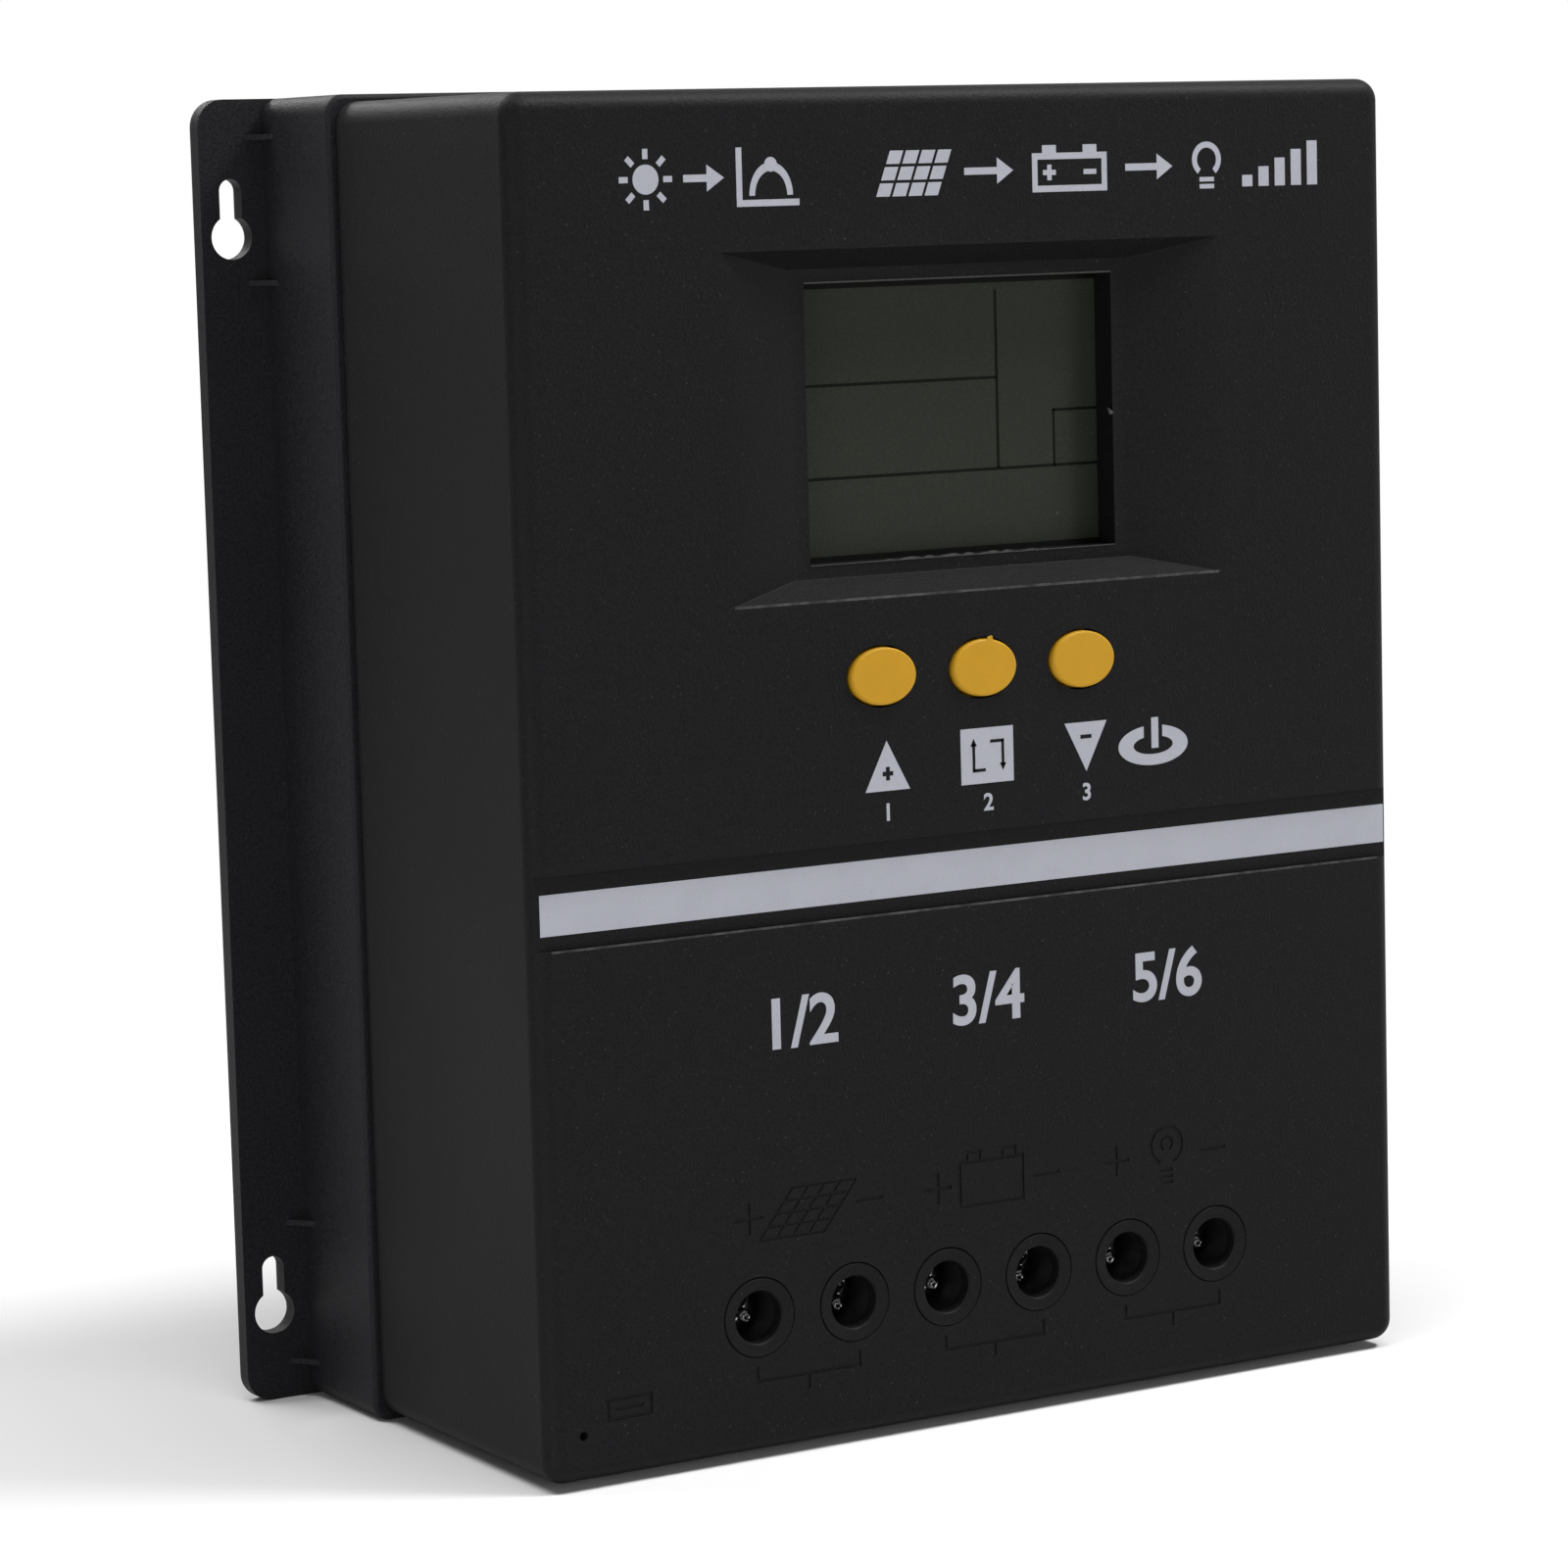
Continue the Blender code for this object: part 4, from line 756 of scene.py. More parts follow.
def build_cover(finish):
    """The deep front shell."""
    cover = settle("cover_shell", Stock().plate(COVER, COVER_BACK, FRONT, corner=COVER_CORNER, steps=10,
                                                front=COVER_EDGE, back=COVER_RIM_EDGE))
    carve(cover, Stock().plate(TONGUE, TONGUE_END, COVER_BACK + OVERLAP, corner=INNER_CORNER), "UNION")
    inside = (COVER[0] - 2 * WALL, COVER[1] - 2 * WALL)
    carve(cover, Stock().plate(inside, TONGUE_END - PAST, FRONT_INSIDE, corner=INNER_CORNER))

    x, z = DISPLAY
    slope = [(RECESS[axis] - RECESS_FLOOR_SIZE[axis]) / (FRONT - RECESS_FLOOR) for axis in (0, 1)]
    low, high = RECESS_FLOOR - RECESS_LINING, FRONT - OVERLAP
    foot = [size + 2 * RECESS_LINING for size in RECESS_FLOOR_SIZE]
    brim = [size + tilt * (high - low) for size, tilt in zip(foot, slope)]
    carve(cover, Stock().funnel(foot, brim, low, high, x, z), "UNION")
    collar = [size + 2 * COLLAR_WALL for size in WINDOW]
    carve(cover, Stock().plate(collar, GLASS_FRONT + GLASS_GAP, low + OVERLAP, x, z), "UNION")
    posts = Stock()
    posts.rounds(CASE_POSTS, [(CASE_POST, CASE_BOSS_END + POST_GAP),
                              (CASE_POST, FRONT_INSIDE + OVERLAP)])
    posts.rounds(CONTROL_POSTS, [(BOARD_BORE, CONTROL_POST_END + BOARD_BORE_DEPTH),
                                 (BOARD_BORE, CONTROL_POST_END), (CONTROL_POST, CONTROL_POST_END),
                                 (CONTROL_POST, FRONT_INSIDE + OVERLAP)])
    carve(cover, posts, "UNION")

    ahead = FRONT + PAST
    mouth = [size + tilt * PAST for size, tilt in zip(RECESS, slope)]
    carve(cover, Stock().funnel(RECESS_FLOOR_SIZE, mouth, RECESS_FLOOR, ahead, x, z))
    carve(cover, Stock().plate(WINDOW, GLASS_FRONT - PAST, FRONT, x, z))
    carve(cover, Stock().plate((2 * COVER[0], CHANNEL[1] - CHANNEL[0]), CHANNEL_FLOOR, ahead, 0,
                               (CHANNEL[0] + CHANNEL[1]) / 2))
    holes = Stock()
    behind = FRONT_INSIDE - PAST
    wide, tall = BUTTON_HOLE
    for hole_x in BUTTON_X:
        holes.turned([(wide, behind), (wide, ahead)], hole_x, BUTTON_Z, 64, tall / wide)
    holes.rounds(POLES, [(ACCESS_HOLE, behind), (ACCESS_HOLE, ACCESS_LEDGE), (ACCESS_RING, ACCESS_LEDGE),
                         (ACCESS_RING, ahead)], 48)
    holes.rounds(CASE_POSTS[:1], [(PINHOLE, PINHOLE_FLOOR), (PINHOLE, ahead)], 20)
    holes.rounds(CASE_POSTS, [(CASE_BORE, CASE_BOSS_END - PAST), (CASE_BORE, CASE_BORE_END)], 24)
    low = -COVER[1] / 2 - PAST
    high = low + WALL + 2 * PAST
    holes.upright(WIRE_SLOT, low, high, 0, WIRE_OUT, WIRE_SLOT_CORNER)
    holes.upright(USB_MOUTH, low, high, USB_X, USB_OUT)
    carve(cover, holes)
    soften(cover, COVER_SOFT)
    engrave(cover)
    finish_piece(cover, finish, stands_for=["front_cover"])


def build_tray(finish):
    """The flanged back half that hangs on the wall."""
    tray = settle("tray_shell", Stock().plate(TRAY, 0, TRAY_RIM, corner=TRAY_CORNER, front=TRAY_EDGE))
    carve(tray, Stock().plate((EAR_SPAN, TRAY[1]), 0, BACK, corner=EAR_CORNER, steps=10), "UNION")
    inside = (TRAY[0] - 2 * WALL, TRAY[1] - 2 * WALL)
    carve(tray, Stock().plate(inside, BACK, TRAY_RIM + PAST, corner=INNER_CORNER))
    openings = Stock(-PAST, BACK + PAST)
    half = TRAY[1] / 2
    for vent in range(VENT_COUNT):
        x = (vent - (VENT_COUNT - 1) / 2) * VENT_PITCH
        for low in (half - WALL - PAST, -half - PAST):
            openings.upright(VENT, low, low + WALL + 2 * PAST, x, VENT_OUT, VENT_CORNER)
    for x in (-KEYHOLE_X, KEYHOLE_X):
        for z in KEYHOLE_Z:
            openings.outline(keyhole(x, z))
    carve(tray, openings)
    soften(tray, TRAY_SOFT)
    stands = Stock()
    seat = BACK - OVERLAP
    stands.rounds(CASE_POSTS, [(CASE_BOSS, seat), (CASE_BOSS, CASE_BOSS_END)])
    stands.rounds(POWER_POSTS, [(POWER_POST, seat), (POWER_POST, POWER_POST_END),
                                (BOARD_BORE, POWER_POST_END),
                                (BOARD_BORE, POWER_POST_END - BOARD_BORE_DEPTH)])
    stands.rounds(POWER_PROPS, [(CONTROL_POST, seat), (CONTROL_POST, POWER_POST_END)])
    for side in (-1, 1):
        for z in GUSSET_Z:
            stands.add(gusset(side, z))
    carve(tray, stands, "UNION")
    carve(tray, Stock().rounds(CASE_POSTS, [(CASE_HEAD_BORE, -PAST), (CASE_HEAD_BORE, CASE_SEAT),
                                            (CASE_BORE, CASE_SEAT), (CASE_BORE, CASE_BOSS_END + PAST)]))
    finish_piece(tray, finish, stands_for=["base_tray"])


def open_ring(x, z, wide, tall, gap, steps):
    """Points round an oval, clockwise from one side of a gap at its top to the other."""
    lean = math.asin(gap / wide)
    turns = [lean + (math.tau - 2 * lean) * step / steps for step in range(steps + 1)]
    return [(x + wide * math.sin(turn), z + tall * math.cos(turn)) for turn in turns]


def keyhole(x, z):
    """Points of a round hole with a slot above it."""
    radius, half, steps = KEYHOLE / 2, KEYHOLE_SLOT / 2, 16
    turns = [math.pi * step / steps for step in range(steps + 1)]
    top = [(x - half * math.cos(turn), z + KEYHOLE_RISE - half + half * math.sin(turn))
           for turn in turns]
    return open_ring(x, z, radius, radius, half, 36) + top


def gusset(side, z):
    """A small rib in the corner of ear and side wall."""
    reach, rise, thick = GUSSET
    wall = TRAY[0] / 2
    points = [(wall - OVERLAP, BACK - OVERLAP), (wall - OVERLAP, BACK + rise), (wall, BACK + rise),
              (wall + reach, BACK), (wall + reach, BACK - OVERLAP)]
    solid = bmesh.new()
    face = solid.faces.new([solid.verts.new((side * x, -out, z - thick / 2)) for x, out in points])
    return thicken(solid, face, (0, 0, thick))


def build_display(film, mark):
    """The display cell, the frame lines that it shows unlit, and dark strips along its top and bottom
    edges that are painted shadow.
    """
    x, z = DISPLAY
    cell = Stock().plate(GLASS, GLASS_FRONT - GLASS_THICK, GLASS_FRONT, x, z)
    glass = settle("display_cell", cell)
    soften(glass, SMALL_EDGE)
    finish_piece(glass, film, stands_for=["lcd_glass"])
    left, right = x - WINDOW[0] / 2 - 1, x + WINDOW[0] / 2 + 1
    lines = Stock(GLASS_FRONT - PRINT_SINK, GLASS_FRONT + LINE_LIFT)
    lines.stroke((CELL_POST, CELL_TOP), (CELL_POST, CELL_RULE), 0.48)
    lines.stroke((left, CELL_SPLIT), (CELL_POST, CELL_SPLIT), 0.46)
    lines.stroke((left, CELL_RULE), (right, CELL_RULE), 0.46)
    box, lid = CELL_BOX
    lines.path([(box, CELL_RULE), (box, lid), (right, lid)], 0.42)
    # painted shadow: dark strips on the glass along the window's top and bottom edges
    for level, width in ((z + WINDOW[1] / 2, 2.2), (z - WINDOW[1] / 2, 1.7)):
        lines.stroke((left, level), (right, level), width)
    finish_piece(settle("cell_lines_and_shadow_strips", lines), mark)


def build_buttons(finish):
    """Oval caps with a rounded rim, a flange behind the cover and a stem."""
    wide, tall = BUTTON
    flange = wide + 2 * BUTTON_FLANGE
    turns = [math.radians(angle) for angle in (90, 70, 50, 30, 10, 0)]
    crown = [(wide - 2 * BUTTON_EDGE * (1 - math.cos(turn)),
              BUTTON_FACE - BUTTON_EDGE + BUTTON_EDGE * math.sin(turn)) for turn in turns]
    profile = [*crown, (wide, BUTTON_FLANGE_FRONT), (flange, BUTTON_FLANGE_FRONT),
               (flange, BUTTON_FLANGE_BACK), (BUTTON_STEM, BUTTON_FLANGE_BACK),
               (BUTTON_STEM, BUTTON_STEM_END)]
    for index, hole_x in enumerate(BUTTON_X, 1):
        x = hole_x + BUTTON_SHIFT
        cap = Stock(BUTTON_FACE - 0.1, BUTTON_FACE - 0.01)
        cap.turned(profile, x, BUTTON_Z, 72, tall / wide)
        if index == NUB_BUTTON:
            top = BUTTON_Z + tall / 2
            cap.outline([(x + along, top + rise) for along, rise in NUB])
        finish_piece(settle(f"cap_{index}", cap), finish, f"button_{index}",
                     [f"button_cap_{index}"])


def fall(value, start, end):
    """A soft fall from 1 to 0 between two values."""
    share = min(max((value - start) / (end - start), 0.0), 1.0)
    return 1 - share * share * (3 - 2 * share)


def slot_depth(across, along):
    """Depth of a screw slot with rounded edges, at a point across and along it."""
    return SCREW_SLOT_DEPTH * fall(abs(across), *SCREW_SLOT_SIDE) * fall(abs(along), *SCREW_SLOT_END)


def build_screws(finish):
    """Terminal screws with domed heads and rounded cross slots, each left at some angle."""
    seat = SCREW_TOP - SCREW_HEAD_HEIGHT
    shares = [ring / SCREW_RINGS for ring in range(1, SCREW_RINGS + 1)]
    dome = [(SCREW_HEAD * share, SCREW_TOP - SCREW_DOME * share ** 3) for share in shares]
    shank = [(SCREW_HEAD, seat), (SCREW_SHANK, seat), (SCREW_SHANK, SCREW_TIP + SCREW_POINT),
             (SCREW_SHANK - 2 * SCREW_POINT, SCREW_TIP)]
    for index, ((x, z), turn) in enumerate(zip(POLES, SCREW_TURNS), 1):
        screw = Stock().turned([*dome, *shank], x, z, 64)
        spin = Matrix.Rotation(math.radians(turn), 2)
        for vert in screw.mesh.verts:
            if -vert.co.y > seat + CLOSE:
                across, along = spin @ Vector((vert.co.x - x, vert.co.z - z))
                vert.co.y += max(slot_depth(across, along), slot_depth(along, across))
        finish_piece(settle(f"clamp_screw_{index}", screw), finish, f"screw_{index}",
                     [f"terminal_screw_{index}"], 85.0)


def build_prints(ink, black):
    """Pad prints on the front; the dark signs stand on the pale ones."""
    left, right, low, high = STRIPE
    stripe = Stock().plate((right - left, high - low), CHANNEL_FLOOR - PRINT_SINK,
                           CHANNEL_FLOOR + PRINT_LIFT, (left + right) / 2, (low + high) / 2)
    finish_piece(settle("print_stripe", stripe), ink)
    pale = (FRONT - PRINT_SINK, FRONT + PRINT_LIFT)
    dark = (FRONT + PRINT_LIFT - SIGN_SINK, FRONT + PRINT_LIFT + SIGN_LIFT)
    for name, draw, band, finish in (("icons", key_icons, pale, ink), ("signs", key_signs, dark, black),
                                     ("source", source_row, pale, ink), ("chain", chain_row, pale, ink),
                                     ("figures", figures, pale, ink)):
        stock = Stock(*band)
        draw(stock)
        finish_piece(settle(f"print_{name}", stock), finish)


def figures(stock):
    """Button numbers, and the numbers of each pair of poles."""
    for figure, x in zip("123", CAPTION_X):
        stock.text(figure, x, CAPTION_Z, CAPTION_HEIGHT, 0.09)
    for pair, x in zip(("1/2", "3/4", "5/6"), POLE_PAIRS):
        stock.text(pair, x, NUMBER_Z, NUMBER_HEIGHT, 0.22)


def key_icons(icons):
    """Up, select, down and power, under the buttons."""
    icons.outline([(-21.5, -3.55), (-13.4, -3.55), (-17.5, 4.2)])
    icons.outline([(15.5, 4.2), (19.5, -3.6), (23.5, 4.2)])
    icons.plate((9.75, 8.7), icons.near, icons.far, 0.9, 0.45)
    outside, inside = (open_ring(32.4, -0.5, *size, POWER_GAP, 48) for size in POWER_RING)
    icons.outline(outside + inside[::-1])
    icons.stroke((32.75, -1.0), (32.75, 3.9), 1.35)


def key_signs(signs):
    """Dark signs on the key icons: plus, minus and a pair of turning arrows."""
    signs.stroke((-18.35, -0.9), (-16.45, -0.9), 0.68)
    for start, end in ((-1.95, -1.24), (-0.56, 0.15)):
        signs.stroke((-17.4, start), (-17.4, end), 0.68)
    signs.stroke((18.45, 1.9), (20.55, 1.9), 0.62)
    signs.path([(-1.6, 2.2), (-1.6, -1.8), (0.3, -1.8)], 0.5)
    signs.outline([(-2.2, 2.0), (-1.0, 2.0), (-1.6, 3.2)])
    signs.path([(1.7, 2.6), (3.8, 2.6), (3.8, -1.1)], 0.5)
    signs.outline([(3.2, -0.9), (3.8, -2.1), (4.4, -0.9)])


def arrow(row, left, right):
    """An arrow to the right, along the header's middle."""
    neck = right - 3.0
    row.stroke((left, HEADER_Z), (neck, HEADER_Z), 1.1)
    row.outline([(neck, HEADER_Z - 2.0), (right, HEADER_Z), (neck, HEADER_Z + 2.0)])


def source_row(row):
    """Sun, arrow and a power curve with its peak marked."""
    sun = Vector((-57.0, HEADER_Z))
    row.turned([(4.4, row.near), (4.4, row.far)], sun.x, sun.y, 32)
    for ray in range(8):
        along = Vector((math.cos(ray * math.tau / 8), math.sin(ray * math.tau / 8)))
        row.stroke(sun + along * 3.0, sun + along * 4.5, 0.9)
    arrow(row, -50.6, -43.6)
    low, high = HEADER_Z - 4.4, HEADER_Z + 4.4
    row.stroke((-41.0, low), (-41.0, high), 1.0)
    row.stroke((-40.5, low + 0.5), (-30.6, low + 0.5), 1.0)
    row.arc(-35.5, low + 1.6, 7.6, 1.0, 0, 180, 1.3, 24)
    row.turned([(2.2, row.near), (2.2, row.far + 0.02)], -35.5, low + 6.2, 24)


def chain_row(row):
    """Panel, battery and lamp, joined by arrows, then a rising level."""
    low, high = HEADER_Z - 3.5, HEADER_Z + 3.5
    for column in range(4):
        for step in range(3):
            x = -17.0 + 2.9 * column + 0.95 * step
            z = low + 2.45 * step
            row.outline([(x, z), (x + 2.4, z), (x + 3.15, z + 2.0), (x + 0.75, z + 2.0)])
    arrow(row, -1.0, 8.0)
    left, right = 11.5, 25.5
    for z in (low + 0.5, high - 1.5):
        row.stroke((left, z), (right, z), 1.0)
    for x in (left + 0.5, right - 0.5):
        row.stroke((x, low + 1.0), (x, high - 2.0), 1.0)
    for x in (left + 3.2, right - 3.2):
        row.stroke((x - 1.3, high - 0.4), (x + 1.3, high - 0.4), 1.2)
        row.stroke((x - 1.2, HEADER_Z - 0.5), (x + 1.2, HEADER_Z - 0.5), 0.8)
    for start, end in ((-1.7, -0.9), (-0.1, 0.7)):
        row.stroke((left + 3.2, HEADER_Z + start), (left + 3.2, HEADER_Z + end), 0.8)
    arrow(row, 29.0, 38.0)
    row.arc(44.6, HEADER_Z + 0.9, 5.6, 0.95, -52, 284, 1.0, 32)
    for z in (HEADER_Z - 2.2, HEADER_Z - 3.3):
        row.stroke((43.2, z), (46.0, z), 0.7)
    for bar in range(5):
        x = 52.5 + 3.2 * bar
        row.stroke((x, low), (x, low + 1.8 + 1.3 * bar), 2.0)


def engrave(cover):
    """Pole marks over the access holes, a bracket under each pair and a mark for the socket."""
    level, upright, bent = (Stock(FRONT - MARK_DEPTH, FRONT + OVERLAP) for cut in range(3))

    def across(x, z, reach, width=MARK_LINE):
        level.stroke((x - reach, z), (x + reach, z), width)

    def standing(x, low, high, width=MARK_LINE):
        upright.stroke((x, low), (x, high), width)

    reach = MARK_SIGN / 2
    for x, z in PLUS_MARKS + MINUS_MARKS:
        across(x, z, reach)
    for x, z in PLUS_MARKS:
        standing(x, z - reach, z + reach)
    left, right, low, high = PANEL_MARK
    for step in range(5):
        share = step / 4
        z = low + (high - low) * share
        x = left + PANEL_SLANT * share
        level.stroke((x, z), (x + right - left, z), MARK_LINE * 0.7)
        x = left + (right - left) * share
        upright.stroke((x, low), (x + PANEL_SLANT, high), MARK_LINE * 0.7)
    left, right, low, high = BATTERY_MARK
    for z in (low, high):
        level.stroke((left, z), (right, z), MARK_LINE)
    for x in (left, right):
        standing(x, low - 0.3, high + 0.3)
    for x in (left + 2.6, right - 2.6):
        across(x, high + 1.5, 1.5)
        for side in (-1.2, 1.2):
            standing(x + side, high + 0.3, high + 1.8, MARK_LINE * 0.8)
    x, z = BULB_MARK
    bent.arc(x, z, 6.6, MARK_LINE, -65, 310)
    bent.arc(x, z + 0.2, 2.6, MARK_LINE * 0.8, -60, 300, 1.0, 24)
    for step in range(3):
        across(x, z - 4.1 - 1.0 * step, 1.2)
    for pair in POLE_PAIRS:
        across(pair, BRACKET_Z, 9.5)
        for x in (pair - 9.2, pair + 9.2):
            standing(x, BRACKET_Z - 0.3, BRACKET_Z + 2.2)
        standing(pair, BRACKET_Z - 2.4, BRACKET_Z + 0.3)
    x, z = SOCKET_MARK
    for drop, reach in ((0.0, 4.0), (3.0, 4.0), (1.5, 2.4)):
        across(x, z - drop, reach)
    for side in (-3.7, 3.7):
        standing(x + side, z - 3.3, z + 0.3)
    for cut in (level, upright, bent):
        carve(cover, cut)


def build_collars(finish):
    """Dished rings that line the mouths of the access holes."""
    dish = COLLAR_FRONT - COLLAR_DISH
    profile = [(COLLAR - 0.3, ACCESS_LEDGE + 0.02), (COLLAR, ACCESS_LEDGE + 0.2),
               (COLLAR, COLLAR_FRONT - 0.12), (COLLAR - 0.24, COLLAR_FRONT),
               (ACCESS_HOLE + 0.4, dish), (ACCESS_HOLE, dish - 0.2)]
    places = [(x + COLLAR_SHIFT[0], z + COLLAR_SHIFT[1]) for x, z in POLES]
    collars = settle("access_collars", Stock().rounds(places, profile, 56))
    bore = [(ACCESS_HOLE, ACCESS_LEDGE - PAST), (ACCESS_HOLE, FRONT + PAST)]
    carve(collars, Stock().rounds(POLES, bore, 56))
    finish_piece(collars, finish)


def build_highlight_strips(finish):
    """Painted highlights: pale strips on the lower edges of recess and channel, where these edges catch
    the light.
    """
    x, z = DISPLAY
    low = z - RECESS[1] / 2
    half = RECESS[0] / 2 - 0.6
    edge = COVER[0] / 2 - COVER_EDGE
    highlights = Stock(FRONT - THIN_STRIP_SINK, FRONT + HIGHLIGHT_LIFT)
    highlights.stroke((x - half, low), (x + half, low), RECESS_HIGHLIGHT)
    highlights.stroke((-edge, CHANNEL[0]), (edge, CHANNEL[0]), CHANNEL_HIGHLIGHT)
    finish_piece(settle("painted_highlight_strips", highlights), finish)


def build_flash(finish):
    """Thin moulding flash left round the display window."""
    x, z = DISPLAY
    half = WINDOW[0] / 2
    low, high = z - WINDOW[1] / 2, z + WINDOW[1] / 2
    crest = []
    for step in range(FLASH_STEPS + 1):
        along = 2 * half * step / FLASH_STEPS - half
        middle = max(0.0, 1 - (along / 16) ** 4)
        ragged = 0.5 + 0.5 * math.sin(1.7 * along + 1.1 * math.sin(0.9 * along))
        crest.append((x + along, low + 0.05 + 0.34 * middle * ragged))
    flash = Stock(RECESS_FLOOR - THIN_STRIP_SINK, RECESS_FLOOR + FLASH_LIFT)
    flash.outline([(x + half, low - 0.06), *reversed(crest), (x - half, low - 0.06)])
    flash.stroke((x - half, high), (x + half, high), 0.26)
    flash.outline([(x + half + along, level) for along, level in FLASH_TAB])
    finish_piece(settle("window_flash", flash), finish)


def build_stage():
    """A pale floor that turns to plain white away from the object."""
    plane = bmesh.new()
    bmesh.ops.create_grid(plane, x_segments=1, y_segments=1, size=FLOOR_SIZE)
    floor = settle("floor", Stock().add(plane, 0, 0, FLOOR_Z))
    finish = Finish("floor_white", Base_Color=grey(0.86), Roughness=0.9, Specular_IOR_Level=0.1)
    far = finish.node("ShaderNodeVectorMath", {"operation": "LENGTH"}, {0: finish.place}, output="Value")
    glow = finish.node("ShaderNodeEmission", None, {"Color": grey(1), "Strength": 1.0})
    rays = finish.node("ShaderNodeLightPath", output="Is Camera Ray")
    blend = finish.node("ShaderNodeMixShader", None,
                        {0: finish.steps(far, *FLOOR_FADE) * rays,
                         1: Socket(finish, finish.shader.outputs[0]), 2: glow})
    finish.feed(finish.tree.nodes["Material Output"], {"Surface": blend})
    floor.data.materials.append(finish.material)


def build_light():
    """White all round for what is seen directly or mirrored, little light from it, and the lamps."""
    world = bpy.data.worlds.new("studio")
    bpy.context.scene.world = world
    world.use_nodes = True
    sky = Nodes(world.node_tree)
    sky.tree.nodes.clear()
    shown = 0.0
    for kind in ("Is Camera Ray", "Is Transmission Ray", "Is Glossy Ray"):
        ray = sky.node("ShaderNodeLightPath", output=kind)
        shown = sky.node("ShaderNodeMath", {"operation": "MAXIMUM"}, {0: shown, 1: ray})
    dim, bright = (sky.node("ShaderNodeBackground", None, {"Color": grey(1), "Strength": strength})
                   for strength in (WORLD_LIGHT, 1.0))
    blend = sky.node("ShaderNodeMixShader", None, {0: shown, 1: dim, 2: bright})
    sky.feed(sky.tree.nodes.new("ShaderNodeOutputWorld"), {"Surface": blend})

    for name, (at, aim, size, power) in LAMPS.items():
        lamp = bpy.data.lights.new(name, "AREA")
        lamp.shape = "RECTANGLE"
        lamp.size, lamp.size_y = size
        lamp.energy = power
        holder = bpy.data.objects.new(name, lamp)
        holder.location = at
        holder.rotation_euler = (Vector(aim) - Vector(at)).to_track_quat("-Z", "Y").to_euler()
        bpy.context.scene.collection.objects.link(holder)


def build_camera():
    """The photograph's own view."""
    lens = bpy.data.cameras.new("camera")
    lens.lens = CAMERA_LENS
    lens.sensor_width = CAMERA_SENSOR
    lens.clip_start = 0.01
    camera = bpy.data.objects.new("camera", lens)
    turn = Matrix((CAMERA_RIGHT, CAMERA_UP, -Vector(CAMERA_AHEAD))).transposed()
    camera.matrix_world = Matrix.Translation(CAMERA_AT) @ turn.to_4x4()
    bpy.context.scene.collection.objects.link(camera)
    bpy.context.scene.camera = camera


def refine(name, finish):
    """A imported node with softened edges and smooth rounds."""
    piece = settle(f"{name}_body", Stock().packed(name))
    soften(piece, SMALL_EDGE, 2, FACET_ANGLE, False)
    kind, number = name.rsplit("_", 1)
    bodies = {"clamp_cage": f"cage_{number}", "switch_plunger": f"button_{number}"}
    finish_piece(piece, finish, bodies.get(kind, "housing"), [name], FACET_ANGLE)


def dress_nodes(gloss):
    """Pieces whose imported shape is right."""
    nickel = plated_steel("nickel_plated", (0.60, 0.59, 0.57), (0.70, 0.69, 0.67), 0.18)
    tinned = plated_steel("tinned_copper", (0.66, 0.60, 0.52), (0.74, 0.70, 0.64), 0.24)
    board = circuit_board()
    dark = two_tone("moulded_package", (0.010, 0.010, 0.011), (0.016, 0.016, 0.017),
                    (150, 2.0, 0.5), (2800, 2.0, 0.6), (0.48, 0.2), (0.00005, 0.5),
                    Specular_IOR_Level=0.35)
    cream = white_plastic("header_white", (0.66, 0.64, 0.58), (0.74, 0.72, 0.66))
    white = white_plastic("frame_white", (0.68, 0.68, 0.66), (0.76, 0.76, 0.74))
    looks = {
        "terminal_block": (gloss, "terminal_moulding"),
        "clamp_cage": (nickel, "plated_steel"),
        "contact_bar": (tinned, "contact"),
        "control_pcb": (board, "circuit_board"),
        "power_pcb": (board, "circuit_board"),
        "mosfet": (dark, "package"),
        "tact_switch": (dark, "switch"),
        "switch_plunger": (dark, "switch"),
        "heat_sink": (drawn_aluminium(), "heat_sink"),
        "ribbon_cable": (ribbon_grey(), "ribbon"),
        "control_header": (cream, "header"),
        "power_header": (cream, "header"),
        "lcd_frame": (white, "display_frame"),
    }
    for name in list(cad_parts):
        for start, (finish, slot) in looks.items():
            if name.startswith(start):
                refine(name, finish)
    build_socket(nickel, cream, tinned)
    build_leads(tinned)
    build_chips(dark)


def build_fasteners(finish):
    """Pan-head screws of the case and the boards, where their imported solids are."""
    for kind, (seat, side, head, rise, shank, length) in FASTENERS.items():
        profile = [(head * 0.6, rise), (head * 0.86, rise * 0.85), (head, rise * 0.45), (head, 0.0),
                   (shank, 0.0)]
        root = shank * 0.8
        for ridge in range(int((length - shank) / THREAD_PITCH)):
            depth = -THREAD_PITCH * (ridge + 0.5)
            profile += [(root, depth), (shank, depth - THREAD_PITCH / 2)]
        profile += [(root, -length + shank / 2), (shank * 0.3, -length)]
        placed = [(across, seat + side * out) for across, out in profile]
        face = seat + side * rise
        near, far = sorted((face - side * rise * 0.6, face + side * PAST))
        for index in range(1, 5):
            name = f"{kind}_{index}"
            low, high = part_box(name)
            x, z = (low.x + high.x) / 2 / MM, (low.z + high.z) / 2 / MM
            screw = settle(f"{name}_body", Stock().turned(placed, x, z, 28))
            for slot in ((head * 0.55, SLOT), (SLOT, head * 0.55)):
                carve(screw, Stock().plate(slot, near, far, x, z))
            finish_piece(screw, finish, "housing", [name])


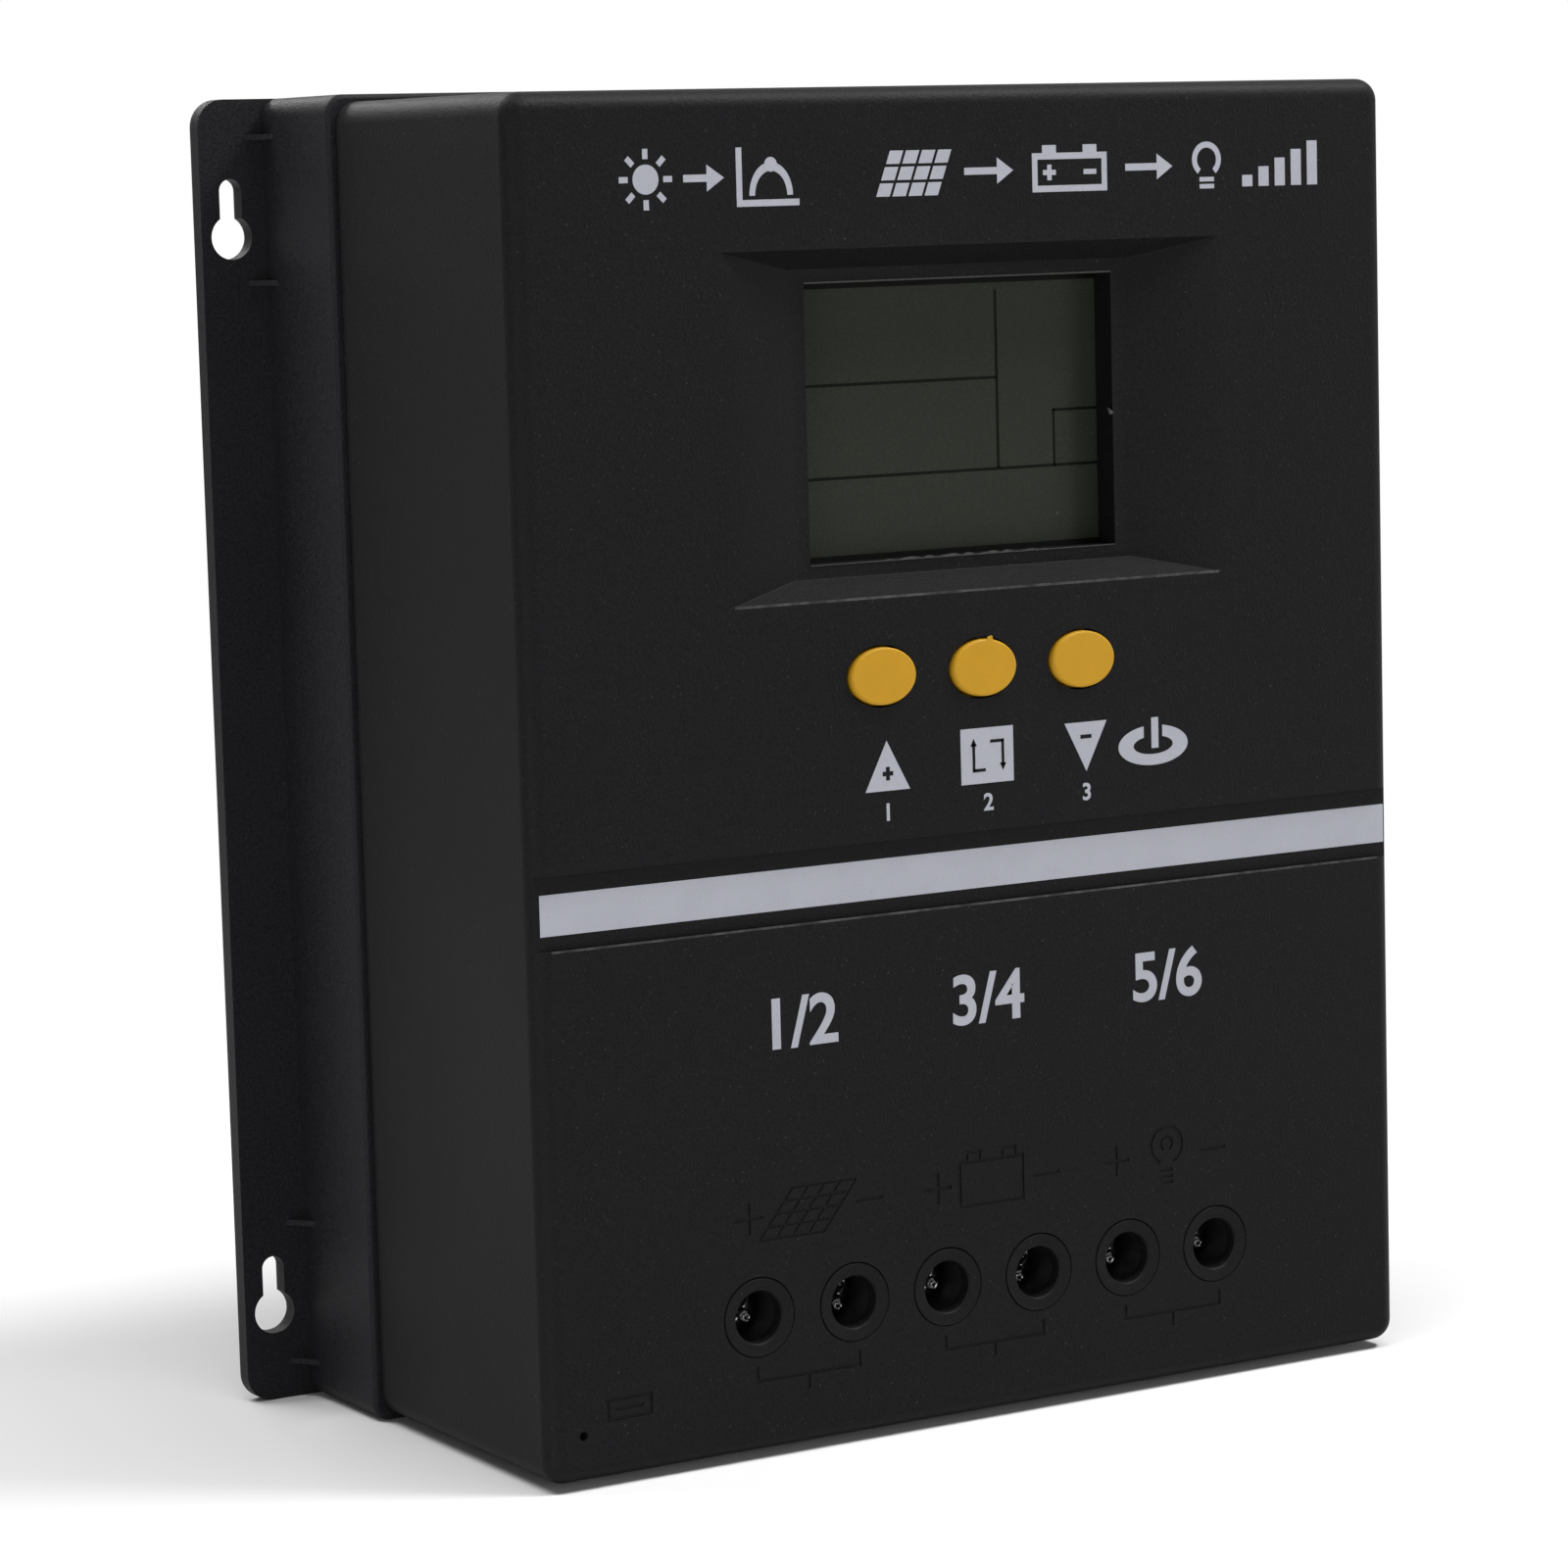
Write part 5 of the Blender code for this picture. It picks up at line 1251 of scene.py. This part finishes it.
def build_filter(sleeve, aluminium, core, enamel):
    """Two capacitors with vented tops and a wound choke."""
    back, front = CAN_OUT
    lip = CAN_NECK - 0.4
    profile = [(CAN - 1.0, back), (CAN, back + 0.5), (CAN, back + 2.0), (CAN_NECK, back + 3.0),
               (CAN, back + 4.0), (CAN, front - 1.0), (CAN - 0.5, front - 0.3), (CAN - 1.6, front),
               (lip, front - 0.1), (lip, front - 0.8)]
    for index, x in enumerate(CAN_X, 1):
        name = f"capacitor_{index}"
        can = Stock().turned(profile, x, FILTER_Z, 56)
        finish_piece(settle(f"{name}_can", can), sleeve, "housing", [name])
        disc = Stock().turned([(CAN_NECK, front - 1.2), (CAN_NECK, front - 0.4)], x, FILTER_Z, 56)
        top = settle(f"{name}_top", disc)
        middle = Vector((x, FILTER_Z))
        for along in (Vector((1, 1)), Vector((1, -1))):
            score = along.normalized() * CAN_SCORE
            carve(top, Stock(front - 0.65, front).stroke(middle - score, middle + score, 0.7))
        finish_piece(top, aluminium, "housing")
    wide, bore, back, front = CHOKE
    blank = Stock().turned([(wide - 2, back), (wide, back + 1), (wide, front - 1), (wide - 2, front)],
                           CHOKE_X, FILTER_Z, 64)
    ring = settle("choke_core", blank)
    carve(ring, Stock().turned([(bore, back - PAST), (bore, front + PAST)], CHOKE_X, FILTER_Z, 64))
    soften(ring, CHOKE_SOFT, 3)
    finish_piece(ring, core, "housing", ["choke"])
    winding = Stock().wire(choke_route(), CHOKE_WIRE)
    finish_piece(settle("choke_winding", winding), enamel)


def choke_route():
    """Points of the choke's wire: turns evenly along the ring, and both ends to the board."""
    wide, bore, back, front = CHOKE
    radius = (wide + bore) / 4
    across = (wide - bore) / 4 + CHOKE_WIRE / 2
    rise = (front - back) / 2 + CHOKE_WIRE / 2
    count = 28 * CHOKE_TURNS
    points = []
    for step in range(count + 1):
        share = step / count
        turn = math.radians(20 + 320 * share)
        wind = math.tau * CHOKE_TURNS * share - math.pi / 2
        side, lift = (math.copysign(abs(swing) ** 0.45, swing)
                      for swing in (math.cos(wind), math.sin(wind)))
        arm = radius + across * side
        points.append((CHOKE_X + arm * math.cos(turn), (back + front) / 2 + rise * lift,
                       FILTER_Z + arm * math.sin(turn)))
    first, last = ((x, POWER_FRONT, z) for x, out, z in (points[0], points[-1]))
    return [first, *points, last]


def build_socket(shell_finish, tongue_finish, contact_finish):
    """A folded steel shell with a tongue and four contacts in its mouth."""
    low, high = USB_ENDS
    shell = settle("socket_shell", Stock().upright(USB, low, high, USB_X, USB_OUT, 0.9))
    inside = [size - 2 * USB_WALL for size in USB]
    carve(shell, Stock().upright(inside, low - PAST, low + USB_DEPTH, USB_X, USB_OUT, 0.5))
    soften(shell, SMALL_EDGE)
    finish_piece(shell, shell_finish, "housing", ["usb_socket"])
    wide, thick, low, high, out = USB_TONGUE
    tongue = settle("socket_tongue", Stock().upright((wide, thick), low, high, USB_X, out))
    soften(tongue, 0.2)
    finish_piece(tongue, tongue_finish)
    strips = Stock()
    for x in USB_CONTACTS:
        strips.upright((1.0, 0.3), low + 1, high, USB_X + x, out - thick / 2)
    finish_piece(settle("socket_contacts", strips), contact_finish)


def build_leads(finish):
    """Transistor leads, bent up into the power board."""
    bend = LEAD[1] / 2
    leads = Stock()
    for foot in MOSFET_X:
        for side in (-LEAD_SPACING, 0.0, LEAD_SPACING):
            x = foot + side
            leads.upright(LEAD, LEAD_END - bend, MOSFET_FOOT, x, LEAD_OUT)
            leads.plate(LEAD, LEAD_OUT - bend, POWER_FRONT + LEAD_PAST, x, LEAD_END)
    finish_piece(settle("transistor_leads", leads), finish)


def build_chips(finish):
    """Controller chip and small parts on the back of the control board."""
    seat = CONTROL_BACK + CHIP_SINK
    chips = Stock()
    for size, thick, x, z, corner in CHIPS:
        chips.plate(size, CONTROL_BACK - thick, seat, x, z, corner, 3, 0.0, 0.2)
    left, low, across, up = CHIP_GRID
    for row in range(3):
        for column in range(9):
            chips.plate(SMALL_CHIP, CONTROL_BACK - 0.6, seat, left + across * column, low + up * row)
    finish_piece(settle("control_chips", chips), finish)


scene = bpy.context.scene
scene.view_settings.view_transform = "Standard"
build_camera()
build_light()
build_stage()
gloss_black = two_tone("gloss_black", (0.004, 0.004, 0.0045), (0.008, 0.008, 0.0085),
                       (180, 3.0, 0.6, (1.0, 0.25, 1.0)), None, (0.34, 0.14), (0.00003, 0.2),
                       Specular_IOR_Level=0.3)
powder_core = two_tone("powder_core", (0.16, 0.15, 0.012), (0.22, 0.20, 0.020),
                       (110, 2.0, 0.5), (1400, 3.0, 0.6), (0.5, 0.2), (0.00008, 0.6))
# ink of the cell's lines, also the colour of the painted shadow strips
lcd_ink_and_shadow = two_tone("lcd_ink_and_shadow", (0.0035, 0.0037, 0.0033), (0.0055, 0.0058, 0.005),
                        (500, 2.0, 0.5), None, (0.3, 0.1), Specular_IOR_Level=0.05)
button_yellow = two_tone("button_yellow", (0.398, 0.208, 0.0080), (0.440, 0.235, 0.0104),
                         (320, 3.0, 0.6), (3600, 2.0, 0.5), (0.38, 0.15), (0.00004, 0.4),
                         Specular_IOR_Level=0.2)
torn_plastic = two_tone("torn_plastic", grey(0.012), (0.075, 0.074, 0.073), (1800, 3.0, 0.6), None,
                        (0.45, 0.2), (0.0001, 0.6), Specular_IOR_Level=0.2)
zinc = plated_steel("zinc_plated", (0.56, 0.57, 0.58), grey(0.68), 0.22)
copper = plated_steel("enamelled_copper", (0.40, 0.13, 0.04), (0.50, 0.19, 0.07), 0.2)
dark_nickel = plated_steel("dark_nickel", grey(0.20), (0.30, 0.30, 0.295), 0.06)
housing_black = moulded_black("moulded_black")

dress_nodes(gloss_black)
build_fasteners(zinc)
build_filter(can_sleeve(), drawn_aluminium(), powder_core, copper)
build_cover(housing_black)
# the tray's black is painted paler, as painted light
build_tray(moulded_black("tray_black_painted_light", TRAY_PAINTED_LIGHT))
build_display(display_film(), lcd_ink_and_shadow)
build_buttons(button_yellow)
build_screws(dark_nickel)
build_collars(housing_black)
# painted highlights on the lit lower edges of recess and channel
build_highlight_strips(edge_highlight_paint())
build_flash(torn_plastic)
build_prints(print_ink(), housing_black)
